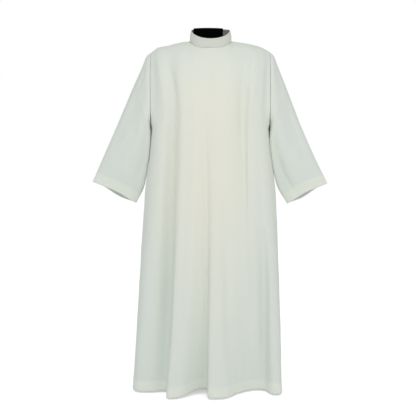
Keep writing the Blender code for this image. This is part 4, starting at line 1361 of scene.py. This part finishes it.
class AlbStageSettings(bpy.types.PropertyGroup):
    """Light of the plain white studio."""

    left_power: bpy.props.FloatProperty(
        name="Left front light", description="Power of the soft light in front on the left",
        default=6.0, min=0.0, max=2000.0, unit="POWER",
    )
    right_power: bpy.props.FloatProperty(
        name="Right front light", description="Power of the soft light in front on the right",
        default=11.0, min=0.0, max=2000.0, unit="POWER",
    )
    front_power: bpy.props.FloatProperty(
        name="Front light", description="Power of the soft light near the camera",
        default=18.0, min=0.0, max=2000.0, unit="POWER",
    )
    top_power: bpy.props.FloatProperty(
        name="Top light", description="Power of the soft light overhead",
        default=21.0, min=0.0, max=2000.0, unit="POWER",
    )
    left_side_power: bpy.props.FloatProperty(
        name="Left side light", description="Power of the soft light on the left",
        default=3.0, min=0.0, max=2000.0, unit="POWER",
    )
    right_side_power: bpy.props.FloatProperty(
        name="Right side light", description="Power of the soft light on the right",
        default=2.0, min=0.0, max=2000.0, unit="POWER",
    )
    room_strength: bpy.props.FloatProperty(
        name="Room", description="Brightness of the white room all round",
        default=0.56, min=0.0, max=5.0,
    )


class ALB_OT_stage(bpy.types.Operator):
    """Add the camera, the pale floor and the soft studio light"""

    bl_idname = "alb.stage"
    bl_label = "Set up the studio"

    def execute(self, context):
        settings = context.scene.alb_stage
        scene = context.scene
        scene.view_settings.view_transform = "Standard"
        camera_data = bpy.data.cameras.new("photo camera")
        camera_data.lens = CAMERA_LENS
        camera_data.sensor_width = SENSOR_WIDTH
        camera = add_object("photo camera", camera_data)
        camera.location = CAMERA_PLACE
        camera.rotation_euler = (math.pi / 2.0 - CAMERA_PITCH, 0.0, 0.0)
        scene.camera = camera
        self.add_floor()
        for light in LIGHTS:
            self.add_light(light, getattr(settings, light.power))
        scene.world = self.make_room(settings)
        return {"FINISHED"}

    def set_glow(self, nodes, links, socket, as_light, as_seen):
        """Gives a socket one strength as light, and another where the camera sees it."""
        path = nodes.new("ShaderNodeLightPath")
        seen = path.outputs["Is Camera Ray"]
        links.new(map_range(nodes, links, seen, 0.0, 1.0, as_light, as_seen), socket)

    def make_room(self, settings):
        """A white room: pure white where the camera sees it, and softer as light."""
        world = bpy.data.worlds.new("white room")
        world.use_nodes = True
        nodes, links = world.node_tree.nodes, world.node_tree.links
        room = nodes["Background"]
        room.inputs["Color"].default_value = WHITE
        self.set_glow(nodes, links, room.inputs["Strength"], settings.room_strength, 1.0)
        return world

    def add_floor(self):
        """A wide white floor that glows a little, so that it meets the room without an edge."""
        work = bmesh.new()
        bmesh.ops.create_grid(
            work, x_segments=FLOOR_CELLS, y_segments=FLOOR_CELLS, size=FLOOR_SIZE
        )
        mesh = bpy.data.meshes.new("floor")
        work.to_mesh(mesh)
        work.free()
        floor = add_object("floor", mesh)
        material, nodes, links, shader = new_material("white floor")
        shader.inputs["Base Color"].default_value = FLOOR_COLOUR
        shader.inputs["Roughness"].default_value = 0.9
        shader.inputs["Specular IOR Level"].default_value = 0.1
        shader.inputs["Emission Color"].default_value = WHITE
        glow = shader.inputs["Emission Strength"]
        self.set_glow(nodes, links, glow, FLOOR_GLOW, FLOOR_SEEN_GLOW)
        mesh.materials.append(material)

    def add_light(self, light, power):
        """A square soft light turned towards a point of the garment."""
        data = bpy.data.lights.new(light.name, "AREA")
        data.shape = "SQUARE"
        data.size = light.size
        data.energy = power
        data.color = light.tint
        lamp = add_object(light.name, data)
        lamp.location = light.place
        reach = [a - p for a, p in zip(light.aim, light.place)]
        pitch = math.atan2(math.hypot(reach[0], reach[1]), -reach[2])
        turn = math.atan2(reach[1], reach[0]) - math.pi / 2.0
        lamp.rotation_euler = (pitch, 0.0, turn)


class ALB_OT_body(bpy.types.Operator):
    """Make the front and back of the alb"""

    bl_idname = "alb.body"
    bl_label = "Make the body"

    def execute(self, context):
        settings = context.scene.alb_cloth
        finish = context.scene.alb_finish
        outside = cloth_material("ivory cloth", finish, 1.0)
        # The cloth's inside is a darker copy of it: painted shade.
        inside = cloth_material("ivory cloth inside", finish, INSIDE_PAINTED_SHADE)
        thread = thread_material(finish)
        for panel in PANELS:
            piece, grid = build_panel(panel, settings, (outside, inside))
            path = line_down(grid, from_hem(grid), settings.hem_band - STITCH_INSET)
            stitches = sew(panel.piece + "_hem_stitches", [path], settings, thread)
            claim(piece, (panel.node,))
            claim(stitches)
        return {"FINISHED"}


class ALB_OT_sleeves(bpy.types.Operator):
    """Make the two set-in sleeves"""

    bl_idname = "alb.sleeves"
    bl_label = "Make the sleeves"

    def execute(self, context):
        settings = context.scene.alb_cloth
        outside = bpy.data.materials["ivory cloth"]
        inside = bpy.data.materials["ivory cloth inside"]
        thread = bpy.data.materials["ivory thread"]
        for sleeve in SLEEVES:
            piece, grid = build_sleeve(sleeve, settings, (outside, inside))
            path = line_down(grid, from_hem(grid), settings.cuff_band - STITCH_INSET)
            stitches = sew(piece.name + "_stitches", [path + path[:1]], settings, thread)
            claim(piece, ("sleeve_" + sleeve.side,))
            claim(stitches)
        return {"FINISHED"}


class ALB_OT_collar(bpy.types.Operator):
    """Make the stand collar with its rows of stitches"""

    bl_idname = "alb.collar"
    bl_label = "Make the collar"

    def execute(self, context):
        settings = context.scene.alb_cloth
        finish = context.scene.alb_finish
        # The collar's cloth is a darker copy: painted shade.
        material = cloth_material("ivory collar cloth", finish, COLLAR_PAINTED_SHADE)
        piece, loop = build_collar(settings, material)
        paths = [collar_line(loop, share, 0.0) for share in COLLAR_STITCH_SHARES]
        stitches = sew("alb_collar_stitches", paths, settings, bpy.data.materials["ivory thread"])
        claim(piece, ("collar",))
        claim(stitches)
        return {"FINISHED"}


class ALB_OT_form(bpy.types.Operator):
    """Finish the dress form: its neck block, cover, pole and base"""

    bl_idname = "alb.form"
    bl_label = "Finish the form"

    def execute(self, context):
        finish = context.scene.alb_finish
        materials = {"cover": cover_material(finish), "steel": steel_material(finish)}
        for node, kind in FORM_NODES.items():
            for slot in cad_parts[node].material_slots:
                slot.material = materials[kind]
        low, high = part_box("form_neck_block")
        middle = ((low[0] + high[0]) / 2.0, (low[1] + high[1]) / 2.0)
        rings = neck_rings(low, high)
        piece = ring_object("form_neck_cover", rings, middle, NECK_CELLS, materials["cover"])
        claim(piece, ("form_neck_block",))
        return {"FINISHED"}


class ALB_PT_sidebar(bpy.types.Panel):
    """Lists the steps and the sizes of the alb"""

    bl_idname = "ALB_PT_sidebar"
    bl_label = "Alb robe"
    bl_space_type = "VIEW_3D"
    bl_region_type = "UI"
    bl_category = "Alb"

    def draw(self, context):
        column = self.layout.column(align=True)
        for step in STEPS:
            column.operator(step.bl_idname)
        for group in (context.scene.alb_cloth, context.scene.alb_finish, context.scene.alb_stage):
            box = self.layout.box()
            for name in group.bl_rna.properties.keys():
                if name not in ("rna_type", "name"):
                    box.prop(group, name)


STEPS = (ALB_OT_stage, ALB_OT_body, ALB_OT_sleeves, ALB_OT_collar, ALB_OT_form)
CLASSES = (AlbClothSettings, AlbFinishSettings, AlbStageSettings) + STEPS + (ALB_PT_sidebar,)


def register():
    """Makes the classes and their settings known to Blender."""
    for part in CLASSES:
        bpy.utils.register_class(part)
    bpy.types.Scene.alb_cloth = bpy.props.PointerProperty(type=AlbClothSettings)
    bpy.types.Scene.alb_finish = bpy.props.PointerProperty(type=AlbFinishSettings)
    bpy.types.Scene.alb_stage = bpy.props.PointerProperty(type=AlbStageSettings)


def unregister():
    """Takes the settings and the classes away again."""
    del bpy.types.Scene.alb_stage
    del bpy.types.Scene.alb_finish
    del bpy.types.Scene.alb_cloth
    for part in reversed(CLASSES):
        bpy.utils.unregister_class(part)


def main():
    """Builds every piece."""
    register()
    bpy.ops.alb.stage()
    bpy.ops.alb.body()
    bpy.ops.alb.sleeves()
    bpy.ops.alb.collar()
    bpy.ops.alb.form()
    bpy.context.view_layer.update()


if __name__ == "__main__":
    main()
